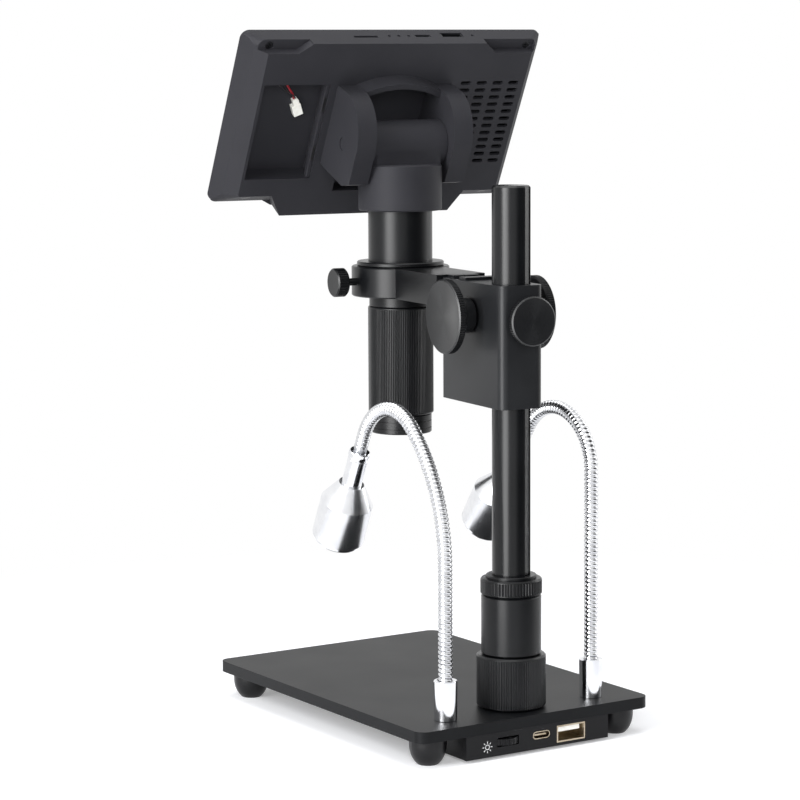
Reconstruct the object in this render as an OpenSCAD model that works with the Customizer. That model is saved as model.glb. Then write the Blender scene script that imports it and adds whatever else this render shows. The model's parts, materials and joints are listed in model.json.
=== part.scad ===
// Digital microscope with a tilting screen, a rack-and-pinion focus carriage and two gooseneck lamps.
// Millimetres. The origin is the centre of the stage plate's top face. +Z is up and +Y is the rear.

/* [Stage plate] */
// Width of the stage plate
plate_w = 120; // [110:1:150]
// Depth of the stage plate
plate_d = 170; // [164:1:220]
// Thickness of the stage plate
plate_t = 5; // [4:0.5:8]
// Corner radius of the stage plate
plate_corner_r = 5; // [2:0.5:12]
// Radius of a rubber foot
foot_r = 8; // [7:0.5:10]
// Height of a rubber foot
foot_h = 11.5; // [11.5:0.5:16]
// Distance from a foot's centre to the plate's edges
foot_inset = 11; // [10:0.5:16]
// Radius of a foot screw's shank
foot_screw_r = 1.5; // [1.2:0.1:1.6]

/* [Control box] */
// Width of the control box
box_w = 74; // [66:1:76]
// Length of the control box under the plate
box_d = 42; // [40:1:60]
// Height of the control box
box_h = 10.1; // [10.1:0.1:11]
// Wall of the control box
box_wall = 1; // [0.8:0.1:1.4]
// Thickness of its rear panel
panel_t = 1.6; // [1.2:0.1:2.5]
// Radius of the dimmer thumbwheel
dimmer_r = 8; // [7.6:0.1:8.2]
// Thickness of the dimmer thumbwheel
dimmer_t = 2.6; // [2:0.1:3]
// Place of the dimmer along the panel
dimmer_x = 15.75; // [13:0.25:20]
// Place of the small socket along the panel
port_c_x = -1.75; // [-4:0.25:2]
// Place of the large socket along the panel
port_a_x = -17.35; // [-22:0.25:-14]
// Width of the large socket
port_a_w = 14.9; // [14:0.1:15.5]
// Height of the large socket
port_a_h = 7.3; // [6.8:0.1:7.5]
// Width of the small socket
port_c_w = 8.9; // [8:0.1:9.4]
// Height of the small socket
port_c_h = 3.3; // [3:0.1:3.8]

/* [Column] */
// Distance from the plate's rear edge to the column's axis
column_inset = 20; // [16:1:30]
// Radius of the column rod
rod_r = 8.2; // [7:0.1:9]
// Height of the column rod
rod_h = 223.2; // [200:1:260]
// Width of the rod's keyway
keyway_w = 5; // [3:0.5:6]
// Depth of the rod's keyway
keyway_depth = 0.8; // [0.5:0.1:1.2]
// Angle of the keyway from the rear of the head
keyway_angle = 35; // [30:1:60]
// Radius of the knurled ring at the column's foot
base_ring_r = 14.9; // [13.5:0.1:17]
// Height of the knurled ring
base_ring_h = 23; // [15:0.5:26]
// Radius of the column's sleeve
sleeve_r = 12.9; // [12:0.1:14]
// Height of the sleeve above the knurled ring
sleeve_h = 25.3; // [15:0.1:28]
// Radius of the collar nut
collar_r = 13.2; // [12:0.1:15]
// Height of the collar nut
collar_h = 7.1; // [5:0.1:9]

/* [Carriage] */
// Turn of the whole head about the column
head_turn = 6.5; // [0:0.5:8]
// Width of the carriage block
block_w = 20.6; // [20:0.1:24]
// Height of the carriage block
block_h = 52.2; // [46:0.1:60]
// Bottom of the carriage block above the stage
block_z = 129.4; // [126:0.1:140]
// Block in front of the column's axis
block_front = 45.4; // [44:0.1:50]
// Block behind the column's axis
block_rear = 10.1; // [9.8:0.1:14]
// Radius of the block's upright edges
block_edge_r = 3.6; // [1:0.1:4]
// Radius of the clamp knob
clamp_knob_r = 10.45; // [8:0.05:13]
// Rim of the clamp knob
clamp_rim_t = 3.3; // [2.5:0.1:5]
// Distance from the block to the clamp knob
clamp_reach = 6.6; // [5:0.1:9]

/* [Focus drive] */
// Gear module of the rack and pinion
gear_m = 1; // [0.9:0.05:1]
// Teeth of the pinion
pinion_teeth = 14; // [12:1:14]
// Distance from the column's axis to the pinion's axis
shaft_front = 18; // [18:0.1:19]
// Height of the pinion's axis above the block's bottom
shaft_up = 37.9; // [36:0.1:38]
// Radius of the pinion's shaft
shaft_r = 3; // [2.5:0.1:3.5]
// Radius of a focus knob
knob_r = 15.9; // [12:0.1:17]
// Rim of a focus knob
knob_rim_t = 3.7; // [3:0.1:6]
// Length of a focus knob's hub
knob_hub_l = 9.1; // [6:0.1:12]
// Radius of a focus knob's hub
knob_hub_r = 7.4; // [6:0.1:8]
// Width of the rack slide
slide_w = 15.9; // [13:0.1:16]
// Width of the slide's neck
neck_w = 12.8; // [10:0.1:12.8]
// Depth of the lips that hold the slide
lip_d = 5.4; // [4:0.1:6]
// Bottom of the slide above the block's bottom
slide_up = 7.6; // [5:0.1:12]
// Distance from the column's axis to the camera's axis
throat = 104.8; // [95:0.1:115]
// Width of the arm
arm_w = 23.8; // [20:0.1:30]
// Height of the arm
arm_h = 13.6; // [11:0.1:15]
// Top of the arm above the block's top
arm_over = 1.1; // [0.5:0.1:2]
// Outer radius of the arm's ring
ring_r = 22.3; // [20.5:0.1:26]
// Radius of the ring's thumb screw knob
ring_knob_r = 6.5; // [5:0.1:6.5]
// Reach of the thumb screw's knob beyond the ring
ring_knob_reach = 6; // [4:0.1:9]

/* [Camera] */
// Radius of the camera tube
tube_r = 14.6; // [13.5:0.1:15.5]
// Radius of the flange that rests on the ring
flange_r = 19.8; // [17:0.1:22]
// Thickness of the flange
flange_t = 2; // [1.5:0.1:3]
// Height of the tube between the flange and the cap
tube_h = 23; // [20:0.1:30]
// Radius of the cap
cap_r = 19; // [17.5:0.1:19]
// Height of the cap
cap_h = 20.8; // [16:0.1:24]
// Tube below the ring
tube_drop = 4.6; // [3:0.1:8]
// Radius of the focus ring
focus_ring_r = 14.9; // [13.5:0.1:16]
// Height of the focus ring
focus_ring_h = 49; // [40:0.5:54]
// Radius of the lens hood
hood_r = 14; // [12.5:0.1:15]
// Height of the lens hood
hood_h = 8.6; // [7:0.1:12]
// Radius of the inner lens barrel
barrel_r = 10; // [9:0.1:11]
// Wall of the inner lens barrel
barrel_wall = 1.5; // [1.2:0.1:2]
// Radius of the hinge knuckle
knuckle_r = 10.5; // [8:0.1:11]
// Height of the hinge axis above the cap
hinge_up = 9.5; // [9.5:0.1:14]
// Radius of the hinge pin
pin_r = 3; // [2:0.1:4]

/* [Screen] */
// Lean of the screen at rest
screen_lean = 29.5; // [20:0.5:40]
// Width of the shell's back face
shell_back_w = 132.4; // [130:0.1:136]
// Width of the screen's front face
screen_w = 150.6; // [146:0.1:156]
// Thickness of the screen
screen_t = 13; // [13:0.1:15]
// Distance from the hinge axis to the back face
hinge_off = 16.3; // [16.3:0.1:20]
// Top edge above the hinge axis
screen_up = 42; // [41:0.5:50]
// Back face below the hinge axis
screen_down = 36.9; // [36:0.1:42]
// Drop of the button chin below the back face
chin_drop = 10.8; // [9:0.1:14]
// Thickness of the front bezel
bezel_t = 2; // [1.8:0.1:2.6]
// Wall of the back shell
shell_wall = 1.8; // [1.4:0.1:2.2]
// Width of a hinge lug
lug_w = 9.4; // [7:0.1:12]
// Space between the lugs
lug_gap = 38.8; // [38.6:0.1:42]
// Depth of the battery bay
bay_depth = 8.8; // [6:0.1:8.8]
// Columns of vent slots
vent_columns = 4; // [2:1:4]
// Rows of vent slots
vent_rows = 12; // [4:1:12]
// Length of a vent slot
vent_l = 5.5; // [4:0.1:6.5]
// Width of a vent slot
vent_w = 2; // [1:0.1:2.4]
// Width of the screen window
window_w = 108; // [90:1:110]
// Height of the screen window
window_h = 62; // [50:1:62]
// Menu buttons on the chin
button_count = 6;
// Radius of a menu button
button_r = 2.4; // [1.8:0.1:2.8]

/* [Lamps] */
// Distance from the middle of the plate to each lamp's plane
lamp_x = 38; // [38:0.5:48]
// Lamp ferrules in front of the plate's rear edge
ferrule_inset = 14; // [12:0.5:20]
// Radius of a ferrule
ferrule_r = 5; // [4.5:0.1:7]
// Height of a ferrule
ferrule_h = 17; // [12:0.5:20]
// Radius of a gooseneck over its ribs
goose_r = 3.1; // [2.8:0.1:3.6]
// Radius of a gooseneck's bore
goose_bore_r = 1.5; // [1:0.1:2]
// Depth of the grooves between the ribs
groove_d = 0.35; // [0.2:0.05:0.5]
// Ribs on the left gooseneck
ribs_left = 76; // [40:1:90]
// Ribs on the right gooseneck
ribs_right = 80; // [40:1:90]
// Radius of a lamp housing
lamp_r = 11.7; // [10:0.1:13]
// Length of a lamp housing's straight part
lamp_body_l = 18.6; // [14:0.1:24]
// Length of a lamp housing's cone
lamp_cone_l = 9.4; // [6:0.1:14]
// Radius of a lamp's neck
lamp_neck_r = 4.5; // [4:0.1:5.5]
// Length of a lamp's neck
lamp_neck_l = 13.6; // [10:0.1:18]
// Wall of a lamp housing
lamp_wall = 1.6; // [1.2:0.1:2.2]

/* [Fits] */
// Clearance of parts that turn or slide in each other
run_fit = 0.06; // [0.02:0.01:0.1]
// Clearance of parts that are pressed or screwed together
seat_fit = 0.02; // [0.01:0.01:0.05]
// Gap between the faces of bodies that move past each other
face_gap = 0.3; // [0.2:0.05:0.5]

/* [Hidden] */
$fn = 64;
eps = 0.01;

// Levels of the plate and the box
plate_bottom = -plate_t;
foot_bottom = plate_bottom - foot_h;
rear_y = plate_d / 2;
column_y = rear_y - column_inset;
ferrule_y = rear_y - ferrule_inset;
foot_x = plate_w / 2 - foot_inset;
foot_y = plate_d / 2 - foot_inset;
foot_flat_r = foot_r - 3.6;
foot_head_r = foot_screw_r + 1.5;
foot_skirt = 3;
foot_dome = foot_h - foot_skirt;
foot_head_h = 2.2;
foot_head_up = 3;
panel_gap = 0.4;
box_front_y = rear_y - box_d;
panel_y = rear_y - panel_t;
board_t = 1.2;
board_z = plate_bottom - 0.3 - board_t;
port_c_z = plate_bottom - 5.8;
port_a_z = board_z - port_a_h;
dimmer_z = plate_bottom - 4.4;
dimmer_slot_h = 4;
dimmer_y = rear_y + 1.7 - dimmer_r;
pot_h = 2.6;
bolt_r = 4;
bolt_head_r = 6.5;
bolt_head_h = 6;
bolt_l = 25;

// Levels of the column
spigot_r = 10.4;
sleeve_top = base_ring_h + face_gap + sleeve_h;
collar_z = sleeve_top + face_gap;
seat_ring_r = collar_r - 2.4;
seat_ring_h = 1.4;

// Places of the carriage and the drive, in the head's own frame: x is lateral and y is rearward
block_top = block_z + block_h;
shaft_z = block_z + shaft_up;
pitch_r = gear_m * pinion_teeth / 2;
addendum = 0.8 * gear_m;
dedendum = 1.1 * gear_m;
backlash = 0.3;
pressure_angle = 25;
rack_y = -shaft_front - pitch_r;
channel_y = rack_y + addendum + face_gap;
channel_w = slide_w + 2 * run_fit;
neck_slot_w = neck_w + 2 * run_fit;
lip_y = lip_d - block_front;
slide_rear_y = rack_y - dedendum;
slide_z = block_z + slide_up;
arm_top = block_top + arm_over;
arm_z = arm_top - arm_h;
arm_rear_y = -block_front - face_gap;
pinion_w = channel_w - 1;
gear_pocket_r = pitch_r + addendum + 0.45;
pocket_front_y = lip_y - 0.05;
pocket_rear_y = lip_y + 8;
pocket_z = arm_top - 13;
arm_screw_x = 3.4;
arm_screw_r = 1.5;
arm_screw_z = pocket_z + 6;
knob_in = block_w / 2 + face_gap;
knob_out = knob_in + knob_hub_l + knob_rim_t;
clamp_z = shaft_z;
clamp_shank_r = 2.6;
clamp_tip_y = rod_r + face_gap;
ring_screw_z = arm_top - 6.7;
ring_screw_r = 1.7;

// Levels of the camera
flange_z = arm_top + 0.1;
cap_z = flange_z + flange_t + tube_h;
cap_top = cap_z + cap_h;
hinge_z = cap_top + hinge_up;
tube_bottom = arm_z - tube_drop;
tube_top = cap_z + 7;
tube_wall = 2.4;
focus_ring_z = tube_bottom - face_gap - focus_ring_h;
hood_z = focus_ring_z - face_gap - hood_h;
barrel_top = flange_z + 8;
knuckle_w = lug_gap - 2 * face_gap;
lens_r = barrel_r - barrel_wall - seat_fit;

// Planes of the screen, in its own frame: x is lateral, y is rearward and z is up the screen
back_y = -hinge_off;
facet_y = back_y - 5.8;
front_y = back_y - screen_t;
seam_y = front_y + bezel_t;
facet_w = shell_back_w + 10.2;
bottom_facet_z = -screen_down - 4.6;
bottom_front_z = -screen_down - 9.1;
chin_z = -screen_down - chin_drop;
chin_top_w = 100;
chin_low_w = 87;
recess_y = back_y - 5.7;
recess_low_z = -35;
recess_top_z = 20;
lug_in = lug_gap / 2;
lug_out = lug_in + lug_w;
lug_top_r = 20;
lug_rear_y = 14.5;
lug_centre_z = 3;
hood_arc_r = 44;
hood_apex_z = 25.8;
hood_t = 2.6;
bay_x0 = 32.3;
bay_x1 = 64.8;
bay_z0 = -27.8;
bay_z1 = 21.2;
bay_y = back_y - bay_depth;
tub_wall = 1.1;
vent_x = -60.8;
vent_z = 21.3;
vent_dx = 8.3;
vent_dz = 3.8;
lcd_t = 2.1;
glass_t = 0.7;
glass_y = front_y + glass_t;
lcd_y = glass_y + 0.1;
window_z = 3.5;
lcd_margin = 3;
main_board_y = bay_y - tub_wall + 0.2;
button_pitch = 12;
button_z = -40.6;
button_travel = 0.6;
flange_h = 0.3;
corner_screw_x = 64.5;
corner_screw_z = 39;
corner_screw_r = 1.1;
corner_head_r = 1.8;
corner_head_h = 1.3;
corner_floor_y = back_y - 4.2;
corner_seat_y = corner_floor_y - 1.7;

// Routes of the goosenecks in their planes, as runs of [length, radius]; a radius of 0 is straight
route_start = 5;
route_right = [[60.1, 0], [63.7, 75], [44.53, 24], [6.5, 0]];
route_left = [[93.8, 0], [64.53, 25.5], [12.5, 0]];
ball_gap = 1;
neck_z = 1.4;
neck_ring_h = 3;
ball_r = 3;
optics_z = neck_z + neck_ring_h + lamp_neck_l;

// Bend of a route after a run, in degrees
function turn(run) = run[1] == 0 ? 0 : run[0] / run[1] * 180 / PI;
// Step along one run from the point [y, z, heading]
function advance(p, run) =
    run[1] == 0
        ? [p[0] - run[0] * sin(p[2]), p[1] + run[0] * cos(p[2]), p[2]]
        : [
            p[0] - run[1] * (cos(p[2]) - cos(p[2] + turn(run))),
            p[1] + run[1] * (sin(p[2] + turn(run)) - sin(p[2])),
            p[2] + turn(run)
        ];
// Point [y, z, heading] at a distance along a route
function along(route, s, p = [0, 0, 0], i = 0) =
    i == len(route) - 1 || s <= route[i][0]
        ? advance(p, [s, route[i][1]])
        : along(route, s - route[i][0], advance(p, route[i]), i + 1);
function route_length(route, i = 0) = i == len(route) ? 0 : route[i][0] + route_length(route, i + 1);
// Route's point with the lamp's place on the plate
function goose_point(route, s) = along(route, s) + [ferrule_y, route_start, 0];
// One ring of a tube, square to its heading
function goose_ring(route, s, r, sides) =
    let (p = goose_point(route, s))
    [for (k = [0:sides - 1])
        let (a = 360 * (k + 0.5) / sides)
        [r * cos(a), p[0] + r * sin(a) * cos(p[2]), p[1] + r * sin(a) * sin(p[2])]];
// Faces between rings first and first + 1
function band(first, sides, flip) =
    [for (k = [0:sides - 1])
        let (
            a = first * sides + k,
            b = first * sides + (k + 1) % sides,
            c = b + sides,
            d = a + sides
        )
        each flip ? [[a, c, b], [a, d, c]] : [[a, b, c], [a, c, d]]];

module at_head() {
    translate([0, column_y, 0]) rotate([0, 0, -head_turn]) children();
}

module at_camera() {
    at_head() translate([0, -throat, 0]) children();
}

module at_screen() {
    at_camera() translate([0, 0, hinge_z]) rotate([-screen_lean, 0, 0]) children();
}

module at_lamp(side, route) {
    p = goose_point(route, route_length(route));
    translate([side * lamp_x, p[0], p[1]]) rotate([p[2], 0, 0]) children();
}

// Rectangle with rounded corners, centred
module rounded_rect(w, d, r) {
    square([w - 2 * r, d], center = true);
    square([w, d - 2 * r], center = true);
    for (x = [-1, 1], y = [-1, 1]) {
        translate([x * (w / 2 - r), y * (d / 2 - r)]) circle(r = r);
    }
}

// Slot with round ends, centred
module slot(l, w) {
    square([l - w, w], center = true);
    for (x = [-1, 1]) {
        translate([x * (l - w) / 2, 0]) circle(d = w);
    }
}

// Disc with a chamfer on both rims, standing on z = 0
module chamfered_disc(r, h, c, bore = 0) {
    rotate_extrude() {
        polygon([[bore, 0], [r - c, 0], [r, c], [r, h - c], [r - c, h], [bore, h]]);
    }
}

// Extrudes an outline in the y-z plane along x, centred
module across(w) {
    rotate([90, 0, 90]) linear_extrude(height = w, center = true) children();
}

// Box from its low corner to its high corner
module block(low, high) {
    translate(low) cube(high - low);
}

module at_feet() {
    for (x = [-1, 1], y = [-1, 1]) {
        translate([x * foot_x, y * foot_y, 0]) children();
    }
}

module at_ferrules() {
    for (x = [-1, 1]) {
        translate([x * lamp_x, ferrule_y, 0]) children();
    }
}

/* Base */

module stage_plate() {
    color("#3d4146")
    difference() {
        translate([0, 0, plate_bottom]) linear_extrude(height = plate_t) {
            rounded_rect(plate_w, plate_d, plate_corner_r);
        }
        at_feet() translate([0, 0, plate_bottom - eps]) cylinder(r = foot_screw_r + seat_fit, h = 3.6);
        at_ferrules() translate([0, 0, plate_bottom - eps]) {
            cylinder(r = ferrule_r - 1 + seat_fit, h = plate_t + 2 * eps);
        }
        translate([0, column_y, plate_bottom - eps]) cylinder(r = bolt_r + seat_fit, h = plate_t + 2 * eps);
    }
}

module rubber_feet() {
    color("#191a1c")
    at_feet() translate([0, 0, foot_bottom]) difference() {
        rotate_extrude() {
            intersection() {
                union() {
                    translate([0, foot_dome]) square([foot_r, foot_skirt]);
                    translate([0, foot_dome]) scale([1, foot_dome / sqrt(foot_r ^ 2 - foot_flat_r ^ 2)]) {
                        circle(r = foot_r);
                    }
                }
                square([foot_r, foot_h]);
            }
        }
        translate([0, 0, -eps]) cylinder(r = foot_head_r + 0.4, h = foot_head_up + foot_head_h + eps);
        translate([0, 0, foot_head_up]) cylinder(r = foot_screw_r + run_fit, h = foot_h);
    }
}

module foot_screws() {
    color("#8d9196")
    at_feet() translate([0, 0, foot_bottom + foot_head_up]) difference() {
        union() {
            cylinder(r = foot_head_r, h = foot_head_h - face_gap / 3);
            cylinder(r = foot_screw_r, h = foot_h - foot_head_up + 3);
        }
        translate([0, 0, -eps]) cylinder(r = 1.2, h = 1.2, $fn = 6);
    }
}

module control_box() {
    color("#232528")
    difference() {
        block([-box_w / 2, box_front_y, plate_bottom - box_h], [box_w / 2, panel_y, plate_bottom]);
        block(
            [box_wall - box_w / 2, box_front_y + box_wall, plate_bottom - box_h + box_wall],
            [box_w / 2 - box_wall, panel_y + eps, plate_bottom + eps]
        );
        at_ferrules() translate([0, 0, plate_bottom - 3]) cylinder(r = ferrule_r - 0.6, h = 4);
    }
}

module rear_panel() {
    color("#1b1c1f")
    difference() {
        block([-box_w / 2, panel_y, plate_bottom - box_h], [box_w / 2, rear_y, plate_bottom]);
        translate([dimmer_x, rear_y, dimmer_z]) rotate([90, 0, 0]) {
            linear_extrude(height = 3 * panel_t, center = true) square([11.1, dimmer_slot_h], center = true);
        }
        translate([dimmer_x, dimmer_y, dimmer_z - dimmer_slot_h / 2]) {
            cylinder(r = dimmer_r + face_gap, h = dimmer_slot_h);
        }
        translate([port_c_x, rear_y, port_c_z + port_c_h / 2]) rotate([90, 0, 0]) {
            linear_extrude(height = 3 * panel_t, center = true) {
                slot(port_c_w + panel_gap, port_c_h + panel_gap);
            }
        }
        translate([port_a_x, rear_y, port_a_z + port_a_h / 2]) rotate([90, 0, 0]) {
            linear_extrude(height = 3 * panel_t, center = true) {
                square([port_a_w + panel_gap, port_a_h + panel_gap], center = true);
            }
        }
    }
}

module control_board() {
    color("#1f5c3a")
    difference() {
        block([-34, box_front_y + 3, board_z], [34, panel_y - 0.5, board_z + board_t]);
        translate([0, column_y, board_z - 1]) cylinder(r = bolt_head_r + 2, h = board_t + 2);
        at_ferrules() translate([0, 0, board_z - 1]) cylinder(r = ferrule_r, h = board_t + 2);
    }
}

module usb_a_shell() {
    color("#c4c7ca")
    difference() {
        block(
            [port_a_x - port_a_w / 2, rear_y - 14, port_a_z],
            [port_a_x + port_a_w / 2, rear_y - 0.2, port_a_z + port_a_h]
        );
        block(
            [port_a_x - port_a_w / 2 + 0.6, rear_y - 12.5, port_a_z + 0.6],
            [port_a_x + port_a_w / 2 - 0.6, rear_y, port_a_z + port_a_h - 0.6]
        );
    }
}

module usb_a_tongue() {
    color("#f2f2ee")
    block(
        [port_a_x - 5.8, rear_y - 12.5, port_a_z + port_a_h - 3.2],
        [port_a_x + 5.8, rear_y - 2.2, port_a_z + port_a_h - 1.3]
    );
}

module usb_c_socket() {
    color("#b9bcc0")
    translate([port_c_x, rear_y - 0.2, port_c_z + port_c_h / 2]) rotate([90, 0, 0]) {
        difference() {
            linear_extrude(height = 8) slot(port_c_w, port_c_h);
            translate([0, 0, -eps]) linear_extrude(height = 7) slot(port_c_w - 0.7, port_c_h - 0.7);
        }
        translate([0, 0, 1]) linear_extrude(height = 6.5) square([6.2, 0.7], center = true);
        for (x = [-3, 3]) {
            translate([x - 0.4, port_c_h / 2 - 0.2, 3]) cube([0.8, board_z - port_c_z - port_c_h + 0.2, 3]);
        }
    }
}

module dimmer_pot() {
    color("#3a3c40")
    difference() {
        union() {
            translate([dimmer_x - 5, dimmer_y - 11.5, dimmer_z - dimmer_t / 2 - face_gap - pot_h]) {
                cube([10, 16, pot_h]);
            }
            for (x = [-3, 0, 3]) {
                translate([dimmer_x + x - 0.5, dimmer_y - 11, dimmer_z - dimmer_t / 2 - face_gap - eps]) {
                    cube([1, 1.6, board_z - dimmer_z + dimmer_t / 2 + face_gap + eps]);
                }
            }
        }
        translate([dimmer_x, dimmer_y, dimmer_z - dimmer_t / 2 - face_gap - 2]) {
            cylinder(r = 1.5 + run_fit, h = 3);
        }
    }
}

module dimmer_wheel() {
    color("#2a2c2f")
    translate([dimmer_x, dimmer_y, dimmer_z - dimmer_t / 2]) {
        difference() {
            cylinder(r = dimmer_r, h = dimmer_t);
            for (k = [0:23]) {
                rotate([0, 0, 15 * k]) translate([dimmer_r + 0.15, 0, -1]) cylinder(r = 0.5, h = 5, $fn = 16);
            }
        }
        translate([0, 0, -face_gap - 1.7]) cylinder(r = 1.5, h = 2 + face_gap);
    }
}

module lamp_ferrules() {
    color("#c9ccd0")
    at_ferrules() difference() {
        union() {
            translate([0, 0, plate_bottom]) cylinder(r = ferrule_r - 1, h = plate_t + 1);
            cylinder(r = ferrule_r, h = ferrule_h - 1);
            translate([0, 0, ferrule_h - 1 - eps]) cylinder(r1 = ferrule_r, r2 = ferrule_r - 0.6, h = 1);
        }
        translate([0, 0, route_start - face_gap]) cylinder(r = goose_r + run_fit, h = ferrule_h);
        translate([0, 0, plate_bottom - 1]) cylinder(r = goose_bore_r, h = 20);
    }
}

/* Column */

module column_rod() {
    color("#1f2124")
    translate([0, column_y, 0]) difference() {
        union() {
            cylinder(r = rod_r, h = rod_h - 0.8);
            translate([0, 0, rod_h - 0.8 - eps]) cylinder(r1 = rod_r, r2 = rod_r - 0.8, h = 0.8 + eps);
        }
        translate([0, 0, -eps]) cylinder(r = bolt_r + seat_fit, h = bolt_l);
        rotate([0, 0, keyway_angle - head_turn]) {
            block([-keyway_w / 2, rod_r - keyway_depth, collar_z + collar_h], [keyway_w / 2, rod_r + 1, rod_h + 1]);
        }
    }
}

module column_bolt() {
    color("#8d9196")
    translate([0, column_y, plate_bottom - bolt_head_h]) difference() {
        union() {
            cylinder(r = bolt_head_r, h = bolt_head_h);
            cylinder(r = bolt_r, h = bolt_head_h + plate_t + bolt_l - 3);
        }
        translate([0, 0, -eps]) cylinder(r = 3.4, h = 3.5, $fn = 6);
    }
}

module column_sleeve() {
    color("#34373b")
    translate([0, column_y, 0]) difference() {
        union() {
            cylinder(r = spigot_r, h = base_ring_h + 1);
            translate([0, 0, base_ring_h + face_gap]) chamfered_disc(sleeve_r, sleeve_h, 0.5);
        }
        translate([0, 0, -1]) cylinder(r = rod_r + seat_fit, h = sleeve_top + 2);
    }
}

module base_ring() {
    color("#2a2c2f")
    translate([0, column_y, face_gap]) difference() {
        chamfered_disc(base_ring_r, base_ring_h - face_gap, 0.8);
        translate([0, 0, -1]) cylinder(r = spigot_r + run_fit, h = base_ring_h + 2);
    }
}

module collar_nut() {
    color("#2f3236")
    translate([0, column_y, collar_z]) difference() {
        union() {
            chamfered_disc(collar_r, collar_h, 0.6);
            translate([0, 0, collar_h - eps]) cylinder(r = seat_ring_r, h = seat_ring_h);
        }
        translate([0, 0, -1]) cylinder(r = rod_r + run_fit, h = collar_h + seat_ring_h + 2);
    }
}

/* Carriage */

module carriage_block() {
    color("#2b2d31")
    at_head() difference() {
        translate([0, (block_rear - block_front) / 2, block_z]) linear_extrude(height = block_h) {
            rounded_rect(block_w, block_front + block_rear, block_edge_r);
        }
        translate([0, 0, block_z - 1]) cylinder(r = rod_r + run_fit, h = block_h + 2);
        block([-channel_w / 2, lip_y - run_fit, block_z - 1], [channel_w / 2, channel_y, block_top + 1]);
        block([-neck_slot_w / 2, -block_front - 1, block_z - 1], [neck_slot_w / 2, lip_y + 1, block_top + 1]);
        translate([0, -shaft_front, shaft_z]) rotate([0, 90, 0]) {
            cylinder(r = gear_pocket_r, h = block_w + 2, center = true);
        }
        translate([0, block_rear + 1, clamp_z]) rotate([90, 0, 0]) {
            cylinder(r = clamp_shank_r + run_fit, h = block_rear + 1);
        }
        rotate([0, 0, keyway_angle]) {
            block(
                [0.1 - keyway_w / 2, rod_r - 1, block_z + 8],
                [keyway_w / 2 - 0.1, rod_r + 2.4, block_z + 20]
            );
        }
    }
}

module guide_key() {
    color("#b9bcc0")
    at_head() rotate([0, 0, keyway_angle]) {
        block(
            [0.15 - keyway_w / 2, rod_r - keyway_depth + run_fit + 0.1, block_z + 8.05],
            [keyway_w / 2 - 0.15, rod_r + 2.35, block_z + 19.95]
        );
    }
}

module shaft_bushes() {
    color("#b08d4a")
    at_head() for (side = [-1, 1]) {
        translate([side * (channel_w + block_w) / 4, -shaft_front, shaft_z]) rotate([0, 90, 0]) difference() {
            cylinder(r = gear_pocket_r - seat_fit, h = (block_w - channel_w) / 2, center = true);
            cylinder(r = shaft_r + run_fit, h = block_w, center = true);
        }
    }
}

module clamp_knob() {
    color("#232528")
    at_head() translate([0, clamp_tip_y, clamp_z]) rotate([-90, 0, 0]) {
        knob_y = block_rear + clamp_reach - clamp_tip_y;
        cylinder(r = clamp_shank_r, h = knob_y + 1);
        translate([0, 0, block_rear + face_gap - clamp_tip_y]) cylinder(r = 4.6, h = clamp_reach);
        translate([0, 0, knob_y]) chamfered_disc(clamp_knob_r, clamp_rim_t, 0.5);
    }
}

/* Focus drive */

// Half width of a straight-flanked tooth at a height from the pitch line
function half_tooth(h) = PI * gear_m / 4 - backlash / 4 - h * tan(pressure_angle);

module pinion_outline() {
    step = 360 / pinion_teeth;
    root_r = pitch_r - dedendum;
    tip_r = pitch_r + addendum;
    circle(r = root_r);
    for (k = [0:pinion_teeth - 1]) {
        rotate([0, 0, step * (k + 0.5)]) polygon([
            [root_r * cos(step / 2) - 0.3, -half_tooth(-dedendum)],
            [pitch_r, -half_tooth(0)],
            [tip_r, -half_tooth(addendum) + 0.06],
            [tip_r, half_tooth(addendum) - 0.06],
            [pitch_r, half_tooth(0)],
            [root_r * cos(step / 2) - 0.3, half_tooth(-dedendum)]
        ]);
    }
}

module pinion_shaft() {
    color("#b9bcc0")
    at_head() translate([0, -shaft_front, shaft_z]) rotate([0, 90, 0]) {
        cylinder(r = shaft_r, h = 2 * knob_out - 3, center = true);
        linear_extrude(height = pinion_w, center = true) rotate([0, 0, -90]) pinion_outline();
    }
}

module focus_knobs() {
    color("#232528")
    at_head() for (side = [-1, 1]) {
        translate([side * knob_in, -shaft_front, shaft_z]) rotate([0, side * 90, 0]) difference() {
            union() {
                cylinder(r = knob_hub_r, h = knob_hub_l + 1);
                translate([0, 0, knob_hub_l]) chamfered_disc(knob_r, knob_rim_t, 0.6);
            }
            translate([0, 0, -1]) cylinder(r = shaft_r + seat_fit, h = knob_hub_l + knob_rim_t - 0.4);
            translate([0, 0, knob_hub_l + knob_rim_t - 0.5]) difference() {
                cylinder(r = knob_r - 2.2, h = 1);
                cylinder(r = knob_r - 3, h = 1);
            }
        }
    }
}

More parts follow.
